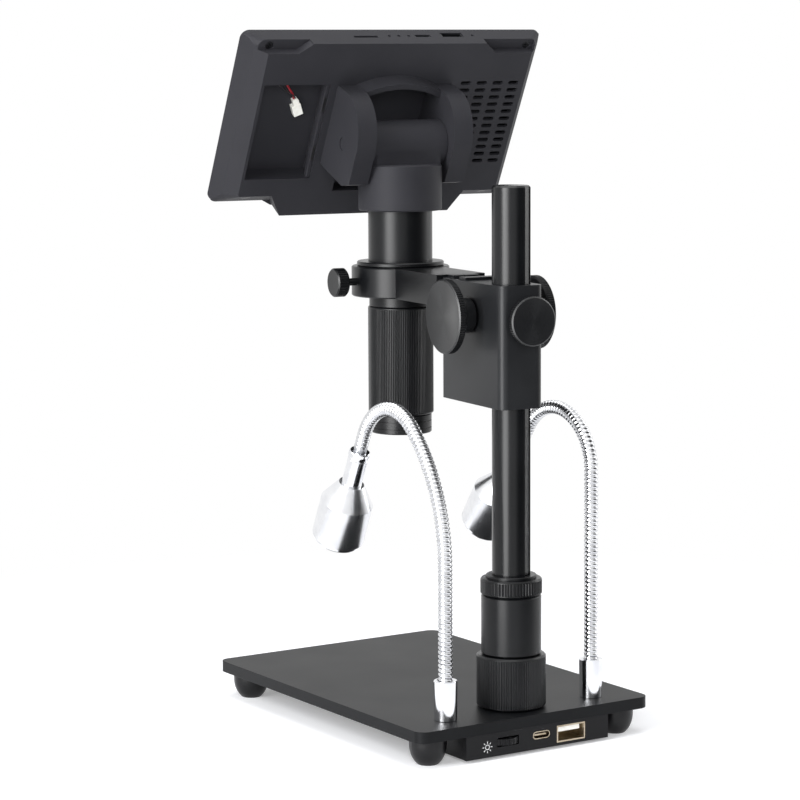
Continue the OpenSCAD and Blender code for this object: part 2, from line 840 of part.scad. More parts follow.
module rack_slide() {
    pitch = PI * gear_m;
    teeth_up = floor((arm_top - 3 - shaft_z) / pitch);
    teeth_down = floor((shaft_z - slide_z - 2) / pitch);
    color("#3b3d41")
    at_head() difference() {
        union() {
            block([-slide_w / 2, lip_y, slide_z], [slide_w / 2, slide_rear_y, arm_top]);
            block([-neck_w / 2, arm_rear_y, slide_z], [neck_w / 2, lip_y + 1, arm_top]);
            translate([0, rack_y, shaft_z]) across(slide_w) {
                for (k = [-teeth_down:teeth_up]) {
                    translate([0, k * pitch]) polygon([
                        [-dedendum - 0.1, -half_tooth(-dedendum)],
                        [addendum, -half_tooth(addendum)],
                        [addendum, half_tooth(addendum)],
                        [-dedendum - 0.1, half_tooth(-dedendum)]
                    ]);
                }
            }
        }
        block([-slide_w, pocket_front_y, pocket_z], [slide_w, pocket_rear_y, arm_top + 1]);
        for (x = [-1, 1]) {
            translate([x * arm_screw_x, pocket_front_y + 1, arm_screw_z]) rotate([90, 0, 0]) {
                cylinder(r = arm_screw_r + seat_fit, h = block_front);
            }
        }
    }
}

module focus_arm() {
    color("#2b2d31")
    at_head() difference() {
        union() {
            block([-arm_w / 2, 4 - throat, arm_z], [arm_w / 2, arm_rear_y, arm_top]);
            translate([0, -throat, arm_z]) chamfered_disc(ring_r, arm_h, 0.5);
        }
        translate([0, -throat, arm_z - 1]) cylinder(r = tube_r + run_fit, h = arm_h + 2);
        for (x = [-1, 1]) {
            translate([x * arm_screw_x, arm_rear_y + 1, arm_screw_z]) rotate([90, 0, 0]) {
                cylinder(r = arm_screw_r + seat_fit, h = 10);
            }
        }
        translate([0, -throat, ring_screw_z]) rotate([0, 90, 0]) {
            cylinder(r = ring_screw_r + run_fit, h = ring_r + 1);
        }
    }
}

module arm_screws() {
    color("#8d9196")
    at_head() for (x = [-1, 1]) {
        translate([x * arm_screw_x, pocket_front_y, arm_screw_z]) rotate([90, 0, 0]) {
            translate([0, 0, -2.4]) difference() {
                cylinder(r = 2.6, h = 2.4);
                translate([0, 0, -eps]) cylinder(r = 1.3, h = 1.4, $fn = 6);
            }
            translate([0, 0, -1]) cylinder(r = arm_screw_r, h = pocket_front_y - arm_rear_y + 8);
        }
    }
}

module ring_screw() {
    color("#c4c7ca")
    at_camera() translate([tube_r + face_gap, 0, ring_screw_z]) rotate([0, 90, 0]) {
        knob_x = ring_r + ring_knob_reach - tube_r - face_gap;
        cylinder(r = ring_screw_r, h = knob_x + 1);
        translate([0, 0, knob_x]) chamfered_disc(ring_knob_r, 5.7, 0.5);
    }
}

/* Camera */

module camera_tube() {
    color("#26282b")
    at_camera() difference() {
        union() {
            translate([0, 0, arm_z - 1]) cylinder(r = tube_r, h = tube_top - arm_z + 1);
            translate([0, 0, tube_bottom]) cylinder(r = tube_r - 0.3, h = tube_drop + 1);
        }
        translate([0, 0, tube_bottom - 1]) cylinder(r = barrel_r + seat_fit, h = 12);
        translate([0, 0, tube_bottom + 10]) cylinder(r = tube_r - tube_wall, h = tube_top - tube_bottom);
    }
}

module tube_flange() {
    color("#2f3236")
    at_camera() translate([0, 0, flange_z]) difference() {
        chamfered_disc(flange_r, flange_t, 0.4);
        translate([0, 0, -1]) cylinder(r = tube_r + seat_fit, h = flange_t + 2);
    }
}

module lens_barrel() {
    color("#1b1c1f")
    at_camera() difference() {
        translate([0, 0, hood_z + 2]) cylinder(r = barrel_r, h = tube_bottom + 10 - hood_z - 2);
        translate([0, 0, hood_z + 1]) cylinder(r = barrel_r - barrel_wall, h = tube_bottom + 12 - hood_z);
    }
}

module focus_ring() {
    color("#26282b")
    at_camera() translate([0, 0, focus_ring_z]) difference() {
        chamfered_disc(focus_ring_r, focus_ring_h, 0.5);
        translate([0, 0, -1]) cylinder(r = barrel_r + run_fit, h = focus_ring_h + 2);
    }
}

module lens_hood() {
    color("#1b1c1f")
    at_camera() translate([0, 0, hood_z]) difference() {
        chamfered_disc(hood_r, hood_h, 0.4);
        translate([0, 0, 2]) cylinder(r = barrel_r + seat_fit, h = hood_h);
        translate([0, 0, -eps]) cylinder(r1 = barrel_r, r2 = barrel_r - barrel_wall, h = 2 + 2 * eps);
        for (z = [2.2, 5.4]) {
            translate([0, 0, z]) difference() {
                cylinder(r = hood_r + 1, h = 0.5);
                cylinder(r = hood_r - 0.5, h = 0.5);
            }
        }
    }
}

module lenses() {
    color("#9fc4d8")
    at_camera() {
        translate([0, 0, hood_z + 3]) cylinder(r = lens_r, h = 2.6);
        translate([0, 0, hood_z + 12]) cylinder(r = lens_r, h = 3);
        translate([0, 0, tube_bottom]) cylinder(r = lens_r, h = 3);
    }
}

module sensor_board() {
    color("#1f5c3a")
    at_camera() {
        translate([0, 0, tube_bottom + 10]) cylinder(r = tube_r - tube_wall - seat_fit, h = board_t);
        translate([-4, -4, tube_bottom + 10 - 1.2]) cube([8, 8, 1.3]);
    }
}

module camera_cap() {
    color("#2b2d31")
    at_camera() difference() {
        union() {
            translate([0, 0, cap_z]) chamfered_disc(cap_r, cap_h, 0.6);
            intersection() {
                translate([0, 0, cap_top - 1]) cylinder(r = cap_r - 0.6, h = hinge_up + 1);
                block([-cap_r, 1 - knuckle_r, cap_top - 1], [cap_r, knuckle_r - 1, hinge_z]);
            }
            translate([0, 0, hinge_z]) rotate([0, 90, 0]) cylinder(r = knuckle_r, h = knuckle_w, center = true);
        }
        translate([0, 0, cap_z - 1]) cylinder(r = tube_r + seat_fit, h = tube_top - cap_z + 1);
        translate([0, 0, tube_top - 1]) cylinder(r = tube_r - tube_wall, h = cap_h - 13);
        translate([0, 0, hinge_z]) rotate([0, 90, 0]) {
            cylinder(r = pin_r + run_fit, h = 2 * lug_out, center = true);
        }
    }
}

/* Screen */

module hinge_pin() {
    color("#b9bcc0")
    at_screen() rotate([0, 90, 0]) cylinder(r = pin_r, h = 2 * lug_out - 1, center = true);
}

// Flared body of the screen, drawn in by a wall; the chin hangs below it
module screen_body(wall, front) {
    intersection() {
        translate([0, 0, chin_z - 10]) linear_extrude(height = screen_up - wall - chin_z + 10) polygon([
            [wall - shell_back_w / 2, back_y - wall],
            [wall - facet_w / 2, facet_y],
            [wall - screen_w / 2, front_y],
            [wall - screen_w / 2, front_y - 10],
            [screen_w / 2 - wall, front_y - 10],
            [screen_w / 2 - wall, front_y],
            [facet_w / 2 - wall, facet_y],
            [shell_back_w / 2 - wall, back_y - wall]
        ]);
        across(screen_w + 10) polygon([
            [back_y - wall, screen_up],
            [back_y - wall, wall - screen_down],
            [facet_y, bottom_facet_z + wall],
            [front, bottom_front_z + wall],
            [front, screen_up]
        ]);
    }
}

module chin_body(wall, front) {
    translate([0, front, 0]) rotate([-90, 0, 0]) mirror([0, 1, 0]) {
        linear_extrude(height = back_y - wall - front) polygon([
            [wall - chin_top_w / 2, -screen_down + 1],
            [wall - chin_low_w / 2, chin_z + wall],
            [chin_low_w / 2 - wall, chin_z + wall],
            [chin_top_w / 2 - wall, -screen_down + 1]
        ]);
    }
}

module lug_outline() {
    polygon([
        [back_y - 1, -19.9],
        [-12, -19.6],
        [8, -17],
        [lug_rear_y, -12.5],
        [lug_rear_y, lug_centre_z],
        [lug_rear_y - lug_top_r, lug_centre_z],
        [lug_rear_y - lug_top_r, lug_centre_z + lug_top_r],
        [back_y - 1, lug_centre_z + lug_top_r - 2.5]
    ]);
    intersection() {
        translate([lug_rear_y - lug_top_r, lug_centre_z]) circle(r = lug_top_r);
        translate([lug_rear_y - lug_top_r, lug_centre_z]) square(lug_top_r);
    }
}

// Prism in the screen's lateral-height plane, from the depth y0 to y1
module plate_on(y0, y1) {
    translate([0, y0, 0]) rotate([-90, 0, 0]) mirror([0, 1, 0]) linear_extrude(height = y1 - y0) children();
}

module corner_pocket(side, x0, x1, slope) {
    plate_on(corner_floor_y, back_y + 1) polygon([
        [side * x0, 37],
        [side * x1, 37],
        [side * x1, screen_up + 1],
        [side * (x0 - slope), screen_up + 1],
        [side * (x0 - slope), screen_up - 0.4]
    ]);
}

module vent_slots() {
    plate_on(back_y - shell_wall - 2, back_y + 1) {
        for (c = [0:vent_columns - 1], r = [0:vent_rows - 1]) {
            translate([vent_x + c * vent_dx, vent_z - r * vent_dz]) slot(vent_l, vent_w);
        }
    }
}

module top_port_cuts() {
    block([11.1, back_y - 7.3, 38], [22.9, back_y - 5.7, 45]);
    block([-15.7, back_y - 8.1, 38], [-7.9, back_y - 6.2, 45]);
    block([-32.5, back_y - 9.9, 38], [-21.4, back_y - 6.2, 45]);
    for (x = [5.1, 0.3, -4.7]) {
        translate([x, back_y - 7.2, 38]) cylinder(r = 0.8, h = 7);
    }
    translate([-37.3, back_y - 7.6, 38]) cylinder(r = 0.7, h = 7);
}

module screen_shell() {
    color("#2b2d31")
    at_screen() difference() {
        union() {
            difference() {
                union() {
                    screen_body(0, seam_y);
                    chin_body(0, seam_y);
                }
                screen_body(shell_wall, seam_y - 1);
                chin_body(shell_wall, seam_y - 1);
            }
            // tubs of the recess and the battery bay, and pads under the corner pockets
            block(
                [-lug_in - shell_wall, recess_y - shell_wall, recess_low_z - shell_wall],
                [lug_in + shell_wall, back_y, recess_top_z + 6]
            );
            block(
                [bay_x0 - shell_wall, bay_y - tub_wall, bay_z0 - shell_wall],
                [bay_x1 + shell_wall, back_y - 1, bay_z1 + shell_wall]
            );
            block([43, back_y - 6, 35], [66, back_y - 1, screen_up - 0.5]);
            block([-66, back_y - 6, 35], [-40, back_y - 1, screen_up - 0.5]);
            for (side = [-1, 1]) {
                translate([side * (lug_in + lug_out) / 2, 0, 0]) across(lug_w) lug_outline();
            }
            plate_on(back_y - 1, -8) intersection() {
                difference() {
                    translate([0, hood_apex_z - hood_arc_r]) circle(r = hood_arc_r, $fn = 128);
                    translate([0, hood_apex_z - hood_arc_r]) circle(r = hood_arc_r - hood_t, $fn = 128);
                }
                translate([-lug_in - 1, 0]) square([lug_gap + 2, 40]);
            }
            for (x = [-1, 1]) {
                block(
                    [x * corner_screw_x - 3, seam_y + 1, corner_screw_z - 5],
                    [x * corner_screw_x + 3, back_y - 4, corner_screw_z + 2]
                );
            }
        }
        block([-lug_in, recess_y, recess_low_z], [lug_in, back_y + 1, recess_top_z]);
        block([bay_x0, bay_y, bay_z0], [bay_x1, back_y + 1, bay_z1]);
        rotate([0, 90, 0]) cylinder(r = pin_r + seat_fit, h = 2 * lug_out + 2, center = true);
        corner_pocket(1, 51.5, 72, 6);
        corner_pocket(-1, 47.5, 68, 6);
        vent_slots();
        top_port_cuts();
        for (x = [-1, 1]) {
            translate([x * corner_screw_x, corner_seat_y, corner_screw_z]) rotate([90, 0, 0]) {
                translate([0, 0, -3]) cylinder(r = corner_head_r + 0.2, h = 3);
                translate([0, 0, -eps]) cylinder(r = corner_screw_r + seat_fit, h = 6);
            }
        }
    }
}

module bezel_outline() {
    translate([-screen_w / 2, bottom_front_z]) square([screen_w, screen_up - bottom_front_z]);
    polygon([
        [-chin_top_w / 2, bottom_front_z + 1],
        [-chin_low_w / 2, chin_z - 1],
        [chin_low_w / 2, chin_z - 1],
        [chin_top_w / 2, bottom_front_z + 1]
    ]);
}

module screen_bezel() {
    color("#17181a")
    at_screen() difference() {
        intersection() {
            plate_on(front_y, seam_y) bezel_outline();
            union() {
                screen_body(0, front_y - 1);
                block([-chin_top_w / 2, front_y, chin_z - 2], [chin_top_w / 2, seam_y, bottom_front_z + 1]);
            }
        }
        translate([0, front_y, window_z]) {
            block([-window_w / 2, -1, -window_h / 2], [window_w / 2, bezel_t + 1, window_h / 2]);
            block(
                [-window_w / 2 - 2, -1, -window_h / 2 - 2],
                [window_w / 2 + 2, glass_t, window_h / 2 + 2]
            );
            block(
                [-window_w / 2 - lcd_margin, glass_t + 0.1, -window_h / 2 - lcd_margin],
                [window_w / 2 + lcd_margin, bezel_t + 1, window_h / 2 + lcd_margin]
            );
        }
        for (k = [0:button_count - 1]) {
            translate([button_pitch * (k - (button_count - 1) / 2), front_y, button_z]) rotate([90, 0, 0]) {
                cylinder(r = button_r + face_gap / 2, h = 3 * bezel_t, center = true);
            }
        }
    }
}

module cover_glass() {
    color("#0b0d10")
    at_screen() translate([0, front_y, window_z]) {
        block(
            [-window_w / 2 - 1.9, 0.02, -window_h / 2 - 1.9],
            [window_w / 2 + 1.9, glass_t - 0.02, window_h / 2 + 1.9]
        );
    }
}

module lcd_panel() {
    color("#2a3440")
    at_screen() translate([0, lcd_y, window_z]) {
        block(
            [-window_w / 2 - lcd_margin + 0.2, 0.02, -window_h / 2 - lcd_margin + 0.2],
            [window_w / 2 + lcd_margin - 0.2, lcd_t, window_h / 2 + lcd_margin - 0.2]
        );
    }
}

module main_board() {
    color("#1f5c3a")
    at_screen() {
        difference() {
            union() {
                block([-60, main_board_y, -36], [bay_x0 - shell_wall - 0.5, main_board_y + board_t, 40]);
                block([-36, main_board_y, chin_z + shell_wall + 0.4], [36, main_board_y + board_t, -30]);
            }
            block([-33, main_board_y - 1, 28], [-20.9, main_board_y + board_t + 1, 41]);
        }
        for (k = [0:button_count - 1]) {
            translate([button_pitch * (k - (button_count - 1) / 2), main_board_y + eps, button_z]) {
                rotate([90, 0, 0]) {
                    cylinder(r = 1.2, h = main_board_y - seam_y - flange_h - button_travel - 0.1);
                }
            }
        }
    }
}

module top_sockets() {
    back = main_board_y + board_t;
    color("#c4c7ca")
    at_screen() {
        block([11.3, back, 27], [22.7, back_y - 5.9, screen_up - shell_wall - 0.1]);
        block([-15.5, back, 34], [-8.1, back_y - 6.4, 36]);
        difference() {
            block([-15.5, back_y - 8, 34], [-8.1, back_y - 6.4, 41.6]);
            block([-15, back_y - 7.9, 36], [-8.6, back_y - 6.8, 42]);
        }
        difference() {
            block([-32.3, back_y - 9.8, 28.2], [-21.6, back_y - 6.4, 41.6]);
            block([-31.8, back_y - 9.4, 32], [-22.1, back_y - 6.8, 42]);
        }
    }
}

module shell_screws() {
    color("#8d9196")
    at_screen() for (x = [-1, 1]) {
        translate([x * corner_screw_x, corner_seat_y, corner_screw_z]) rotate([90, 0, 0]) {
            translate([0, 0, -corner_head_h]) difference() {
                cylinder(r = corner_head_r, h = corner_head_h);
                translate([-1.3, -0.25, -eps]) cube([2.6, 0.5, 0.7]);
                translate([-0.25, -1.3, -eps]) cube([0.5, 2.6, 0.7]);
            }
            translate([0, 0, -0.4]) cylinder(r = corner_screw_r, h = 4.2);
        }
    }
}

module battery_connector() {
    color("#ecebe4")
    at_screen() difference() {
        block([39.2, bay_y, 0.5], [44.2, bay_y + 3.6, 10]);
        block([40, bay_y + 0.8, -1], [43.4, bay_y + 2.8, 6]);
    }
}

module menu_button(k) {
    color("#3a3c40")
    at_screen() translate([button_pitch * (k - (button_count - 1) / 2), seam_y, button_z]) {
        rotate([90, 0, 0]) {
            translate([0, 0, -flange_h - seat_fit]) cylinder(r = button_r, h = flange_h + bezel_t + 0.9);
            translate([0, 0, -flange_h - seat_fit]) cylinder(r = button_r + 0.5, h = flange_h);
        }
    }
}

/* Lamps */

module gooseneck(side, route, ribs) {
    sides = 8;
    total = route_length(route) - ball_gap;
    plain_low = ferrule_h - route_start + 2 * goose_r;
    plain_high = total - 2 * goose_r;
    pitch = (plain_high - plain_low) / ribs;
    bore_rings = 40;
    stations = [
        [0, goose_r - 0.05],
        [plain_low, goose_r - 0.05],
        for (k = [0:ribs - 1]) each [
            [plain_low + pitch * (k + 0.25), goose_r - groove_d],
            [plain_low + pitch * (k + 0.75), goose_r]
        ],
        [plain_high, goose_r - groove_d],
        [total, goose_r - groove_d]
    ];
    outer = [for (s = stations) each goose_ring(route, s[0], s[1], sides)];
    inner = [for (k = [0:bore_rings]) each goose_ring(route, total * k / bore_rings, goose_bore_r, sides)];
    n = len(stations);
    m = bore_rings + 1;
    caps = [for (k = [0:sides - 1])
        let (
            j = (k + 1) % sides,
            low = [k, j, n * sides + j, n * sides + k],
            high = [(n - 1) * sides + k, (n - 1) * sides + j, (n + m - 1) * sides + j, (n + m - 1) * sides + k]
        )
        each [
            [low[0], low[2], low[1]],
            [low[0], low[3], low[2]],
            [high[0], high[1], high[2]],
            [high[0], high[2], high[3]]
        ]];
    color("#9ea2a7")
    translate([side * lamp_x, 0, 0]) polyhedron(
        points = concat(outer, inner),
        faces = concat(
            [for (i = [0:n - 2]) each band(i, sides, false)],
            [for (i = [n:n + m - 2]) each band(i, sides, true)],
            caps
        )
    );
}

module ball_end(side, route) {
    color("#b9bcc0")
    at_lamp(side, route) {
        intersection() {
            sphere(r = ball_r);
            translate([0, 0, seat_fit - ball_gap]) cylinder(r = ball_r + 1, h = 2 * ball_r);
        }
        translate([0, 0, -ball_gap - 3]) cylinder(r = goose_bore_r * cos(22.5) - 0.05, h = 4);
    }
}

module lamp_neck(side, route) {
    color("#c9ccd0")
    at_lamp(side, route) difference() {
        union() {
            translate([0, 0, neck_z]) chamfered_disc(lamp_neck_r + 0.15, neck_ring_h, 0.5);
            translate([0, 0, neck_z + neck_ring_h - eps]) cylinder(r = lamp_neck_r - 0.2, h = 0.7);
            translate([0, 0, neck_z + neck_ring_h + 0.6]) cylinder(r = lamp_neck_r, h = lamp_neck_l + 3);
        }
        sphere(r = ball_r + run_fit);
        cylinder(r = goose_bore_r, h = lamp_neck_l + 20);
    }
}

module lamp_housing(side, route) {
    inner_r = lamp_r - lamp_wall;
    color("#d4d6d9")
    at_lamp(side, route) translate([0, 0, optics_z]) difference() {
        rotate_extrude() polygon([
            [0, 0],
            [lamp_neck_r + 1, 0],
            [lamp_neck_r + 1.4, 0.6],
            [lamp_r, lamp_cone_l],
            [lamp_r, lamp_cone_l + lamp_body_l - 0.5],
            [lamp_r - 0.5, lamp_cone_l + lamp_body_l],
            [0, lamp_cone_l + lamp_body_l]
        ]);
        translate([0, 0, -1]) cylinder(r = lamp_neck_r + seat_fit, h = 4.7);
        translate([0, 0, 2]) cylinder(r = goose_bore_r, h = lamp_cone_l);
        translate([0, 0, lamp_cone_l]) cylinder(r = inner_r, h = lamp_body_l + 1);
    }
}

module lamp_optics(side, route) {
    inner_r = lamp_r - lamp_wall - seat_fit;
    color("#f4f1e6")
    at_lamp(side, route) translate([0, 0, optics_z + lamp_cone_l]) {
        cylinder(r = inner_r, h = 1.6);
        translate([-1.75, -1.75, 1.5]) cube([3.5, 3.5, 1.2]);
        translate([0, 0, 2.7 - eps]) cylinder(r1 = 2.4, r2 = inner_r, h = lamp_body_l - 5);
        translate([0, 0, lamp_body_l - 2.4]) chamfered_disc(inner_r, 4.9, 0.4);
    }
}

stage_plate();
rubber_feet();
foot_screws();
control_box();
rear_panel();
control_board();
usb_a_shell();
usb_a_tongue();
usb_c_socket();
dimmer_pot();
dimmer_wheel();
lamp_ferrules();
column_rod();
column_bolt();
column_sleeve();
base_ring();
collar_nut();
carriage_block();
guide_key();
shaft_bushes();
clamp_knob();
pinion_shaft();
focus_knobs();
rack_slide();
focus_arm();
arm_screws();
ring_screw();
camera_tube();
tube_flange();
lens_barrel();
focus_ring();
lens_hood();
lenses();
sensor_board();
camera_cap();
hinge_pin();
screen_shell();
screen_bezel();
cover_glass();
lcd_panel();
main_board();
top_sockets();
shell_screws();
battery_connector();
menu_button(0);  // menu_button_1
menu_button(1);  // menu_button_2
menu_button(2);  // menu_button_3
menu_button(3);  // menu_button_4
menu_button(4);  // menu_button_5
menu_button(5);  // menu_button_6
gooseneck(-1, route_left, ribs_left);  // gooseneck_left
ball_end(-1, route_left);  // ball_end_left
lamp_neck(-1, route_left);  // lamp_neck_left
lamp_housing(-1, route_left);  // lamp_housing_left
lamp_optics(-1, route_left);  // lamp_optics_left
gooseneck(1, route_right, ribs_right);  // gooseneck_right
ball_end(1, route_right);  // ball_end_right
lamp_neck(1, route_right);  // lamp_neck_right
lamp_housing(1, route_right);  // lamp_housing_right
lamp_optics(1, route_right);  // lamp_optics_right
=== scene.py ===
import json
import math

import bmesh
import bpy
from mathutils import Matrix, Vector


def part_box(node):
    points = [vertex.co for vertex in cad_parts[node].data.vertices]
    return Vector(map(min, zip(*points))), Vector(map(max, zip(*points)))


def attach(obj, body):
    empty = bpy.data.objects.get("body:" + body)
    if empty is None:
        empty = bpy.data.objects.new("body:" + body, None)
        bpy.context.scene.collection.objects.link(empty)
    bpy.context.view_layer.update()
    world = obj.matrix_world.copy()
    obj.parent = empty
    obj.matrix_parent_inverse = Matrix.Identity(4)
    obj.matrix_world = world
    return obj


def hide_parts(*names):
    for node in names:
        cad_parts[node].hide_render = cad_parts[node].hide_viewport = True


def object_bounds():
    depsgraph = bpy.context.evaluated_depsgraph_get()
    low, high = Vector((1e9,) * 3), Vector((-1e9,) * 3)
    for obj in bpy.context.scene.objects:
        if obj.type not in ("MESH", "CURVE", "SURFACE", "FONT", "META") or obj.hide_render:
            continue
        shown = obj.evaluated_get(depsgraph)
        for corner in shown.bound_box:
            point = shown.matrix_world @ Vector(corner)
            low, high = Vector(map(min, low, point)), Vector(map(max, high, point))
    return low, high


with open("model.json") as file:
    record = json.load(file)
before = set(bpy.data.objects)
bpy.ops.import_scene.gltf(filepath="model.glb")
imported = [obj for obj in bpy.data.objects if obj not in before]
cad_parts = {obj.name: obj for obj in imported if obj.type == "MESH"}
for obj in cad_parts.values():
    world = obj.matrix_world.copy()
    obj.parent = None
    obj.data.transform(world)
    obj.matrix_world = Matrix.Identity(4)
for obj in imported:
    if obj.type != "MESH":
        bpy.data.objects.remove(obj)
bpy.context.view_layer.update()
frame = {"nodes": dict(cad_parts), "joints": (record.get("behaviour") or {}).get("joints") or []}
scene = bpy.context.scene
nodes = frame["nodes"]
joints = {joint["name"]: joint for joint in frame["joints"]}
mm = 0.001
print("frame loaded:", len(nodes), "nodes")

# The head's own directions and places come from its joints
lateral = Vector(joints["focus_turn"]["axis"])
rearward = Vector(joints["clamp_turn"]["axis"])
screenBack = Vector(joints["button_1_press"]["axis"])
alongX, alongY, upward = Vector((1, 0, 0)), Vector((0, 1, 0)), Vector((0, 0, 1))


def placeOn(origin, x, y):
    # Matrix of a frame from its origin and two of its axes
    z = x.cross(y)
    return Matrix((
        (x.x, y.x, z.x, origin[0]),
        (x.y, y.y, z.y, origin[1]),
        (x.z, y.z, z.z, origin[2]),
        (0, 0, 0, 1),
    ))


cameraAxis = Vector(joints["camera_turn"]["pos_m"])
cameraPlace = placeOn((cameraAxis.x, cameraAxis.y, 0), lateral, rearward)
rodLow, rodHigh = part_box("column_rod")
columnPlace = placeOn((0, rodLow.y / 2 + rodHigh.y / 2, 0), lateral, rearward)
screenPlace = placeOn(joints["screen_tilt"]["pos_m"], lateral, screenBack)

view = {  # solved from the plate's corners, the column and the barrel
    "place": (668.5, 1011.2, 277.7),  # millimetres
    "azimuth": 147.09,
    "pitch": 7.15,
    "roll": -0.298,
    "lens": 123.8,
    "sensor": 36,
}
azimuth, pitch, roll = (math.radians(view[key]) for key in ("azimuth", "pitch", "roll"))
look = Vector((-math.sin(azimuth) * math.cos(pitch), math.cos(azimuth) * math.cos(pitch), -math.sin(pitch)))
levelRight = Vector((math.cos(azimuth), math.sin(azimuth), 0))
levelUp = levelRight.cross(look)
cameraRight = levelRight * math.cos(roll) + levelUp * math.sin(roll)
cameraUp = levelUp * math.cos(roll) - levelRight * math.sin(roll)
cameraData = bpy.data.cameras.new("camera")
cameraData.lens = view["lens"]
cameraData.sensor_width = view["sensor"]
cameraData.clip_end = 20
camera = bpy.data.objects.new("camera", cameraData)
camera.matrix_world = placeOn(Vector(view["place"]) * mm, cameraRight, cameraUp)
scene.collection.objects.link(camera)
scene.camera = camera
scene.view_settings.view_transform = "Standard"


def addNode(tree, kind, values=None, **links):
    # Adds one node, sets its sockets and settings, and links its inputs
    node = tree.nodes.new(kind)
    for key, value in (values or {}).items():
        if isinstance(key, int) or key in node.inputs:
            node.inputs[key].default_value = value
        else:
            setattr(node, key, value)
    for key, source in links.items():
        socket = int(key[1:]) if key[1:].isdigit() else key.replace("_", " ")
        tree.links.new(source, node.inputs[socket])
    return node


def linearColour(hexColour):
    # sRGB hex to linear RGBA
    parts = [int(hexColour[i:i + 2], 16) / 255 for i in (1, 3, 5)]
    return tuple([p / 12.92 if p <= 0.04045 else ((p + 0.055) / 1.055) ** 2.4 for p in parts] + [1])


studio = {
    "floor": "#f1f2f5",
    "floorSize": 6,
    "floorGlow": 0.25,  # keeps the shadow soft and pale
    "shadowReach": (0.17, 0.42),  # metres from the object where the floor fades to white
    "fill": 0.42,  # strength of the white room
    "mirrorStrength": 1.08,  # the room as the glossy surfaces see it
    "flagStrength": 0.03,  # a dark flag, seen only in reflections
    "flagDirection": (-0.46, 0.888, 0),
    "flagEdge": (0.74, 0.97),  # cosines from its direction, where it starts and where it is full
    "keyStrength": 8,  # a tall softbox, seen only in reflections
    "keyDirection": (0.94, 0.342, 0),
    "keyEdge": (0.935, 0.985),
    "keySquash": 0.35,  # how little of the height counts, which makes the softbox tall
}

# The camera sees a white room, matt surfaces a dimmer one, and glossy ones the room with the flag and the softbox
world = bpy.data.worlds.new("studio")
scene.world = world
world.use_nodes = True
tree = world.node_tree
tree.nodes.clear()
direction = addNode(tree, "ShaderNodeTexCoord")
flagSide = addNode(tree, "ShaderNodeVectorMath", {"operation": "DOT_PRODUCT", 1: studio["flagDirection"]},
                   _0=direction.outputs["Generated"])
flag = addNode(tree, "ShaderNodeMapRange", {
    "interpolation_type": "SMOOTHSTEP", "From Min": studio["flagEdge"][0], "From Max": studio["flagEdge"][1],
    "To Min": studio["mirrorStrength"], "To Max": studio["flagStrength"]}, Value=flagSide.outputs["Value"])
flattened = addNode(tree, "ShaderNodeVectorMath", {"operation": "MULTIPLY", 1: (1, 1, studio["keySquash"])},
                    _0=direction.outputs["Generated"])
level = addNode(tree, "ShaderNodeVectorMath", {"operation": "NORMALIZE"}, _0=flattened.outputs["Vector"])
keySide = addNode(tree, "ShaderNodeVectorMath", {"operation": "DOT_PRODUCT", 1: studio["keyDirection"]},
                  _0=level.outputs["Vector"])
key = addNode(tree, "ShaderNodeMapRange", {
    "interpolation_type": "SMOOTHSTEP", "From Min": studio["keyEdge"][0], "From Max": studio["keyEdge"][1],
    "To Max": studio["keyStrength"]}, Value=keySide.outputs["Value"])
lit = addNode(tree, "ShaderNodeMath", {"operation": "ADD"}, _0=flag.outputs["Result"], _1=key.outputs["Result"])
path = addNode(tree, "ShaderNodeLightPath")
room = addNode(tree, "ShaderNodeBackground", {"Color": (1, 1, 1, 1), "Strength": studio["fill"]})
seen = addNode(tree, "ShaderNodeBackground", {"Color": (1, 1, 1, 1), "Strength": 1})
mirrored = addNode(tree, "ShaderNodeBackground", {"Color": (1, 1, 1, 1)}, Strength=lit.outputs["Value"])
glossy = addNode(tree, "ShaderNodeMixShader", None, Fac=path.outputs["Is Glossy Ray"],
                 _1=room.outputs[0], _2=mirrored.outputs[0])
direct = addNode(tree, "ShaderNodeMixShader", None, Fac=path.outputs["Is Camera Ray"],
                 _1=glossy.outputs[0], _2=seen.outputs[0])
addNode(tree, "ShaderNodeOutputWorld", None, Surface=direct.outputs[0])


def addPiece(name, mesh, place=None):
    # Links a mesh to the scene, in its place or, without one, where its corners say
    piece = bpy.data.objects.new(name, mesh)
    piece.matrix_world = place or Matrix.Identity(4)
    scene.collection.objects.link(piece)
    return piece


# White floor with the shadow near the object; beyond that, reflections pass through it to the room
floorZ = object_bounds()[0].z
half = studio["floorSize"] / 2
floorMesh = bpy.data.meshes.new("floor")
floorMesh.from_pydata([(-half, -half, floorZ), (half, -half, floorZ), (half, half, floorZ), (-half, half, floorZ)],
                      [], [(0, 1, 2, 3)])
floor = addPiece("floor", floorMesh)
floorPaint = bpy.data.materials.new("floor")
floorPaint.use_nodes = True
tree = floorPaint.node_tree
tree.nodes.clear()
coords = addNode(tree, "ShaderNodeTexCoord")
away = addNode(tree, "ShaderNodeVectorMath", {"operation": "LENGTH"}, _0=coords.outputs["Object"])
fade = addNode(tree, "ShaderNodeMapRange", {
    "interpolation_type": "SMOOTHSTEP", "From Min": studio["shadowReach"][0], "From Max": studio["shadowReach"][1]},
    Value=away.outputs["Value"])
matte = addNode(tree, "ShaderNodeBsdfDiffuse", {"Color": linearColour(studio["floor"])})
lift = addNode(tree, "ShaderNodeEmission", {"Color": (1, 1, 1, 1), "Strength": studio["floorGlow"]})
near = addNode(tree, "ShaderNodeAddShader", None, _0=matte.outputs[0], _1=lift.outputs[0])
white = addNode(tree, "ShaderNodeEmission", {"Color": (1, 1, 1, 1), "Strength": 1})
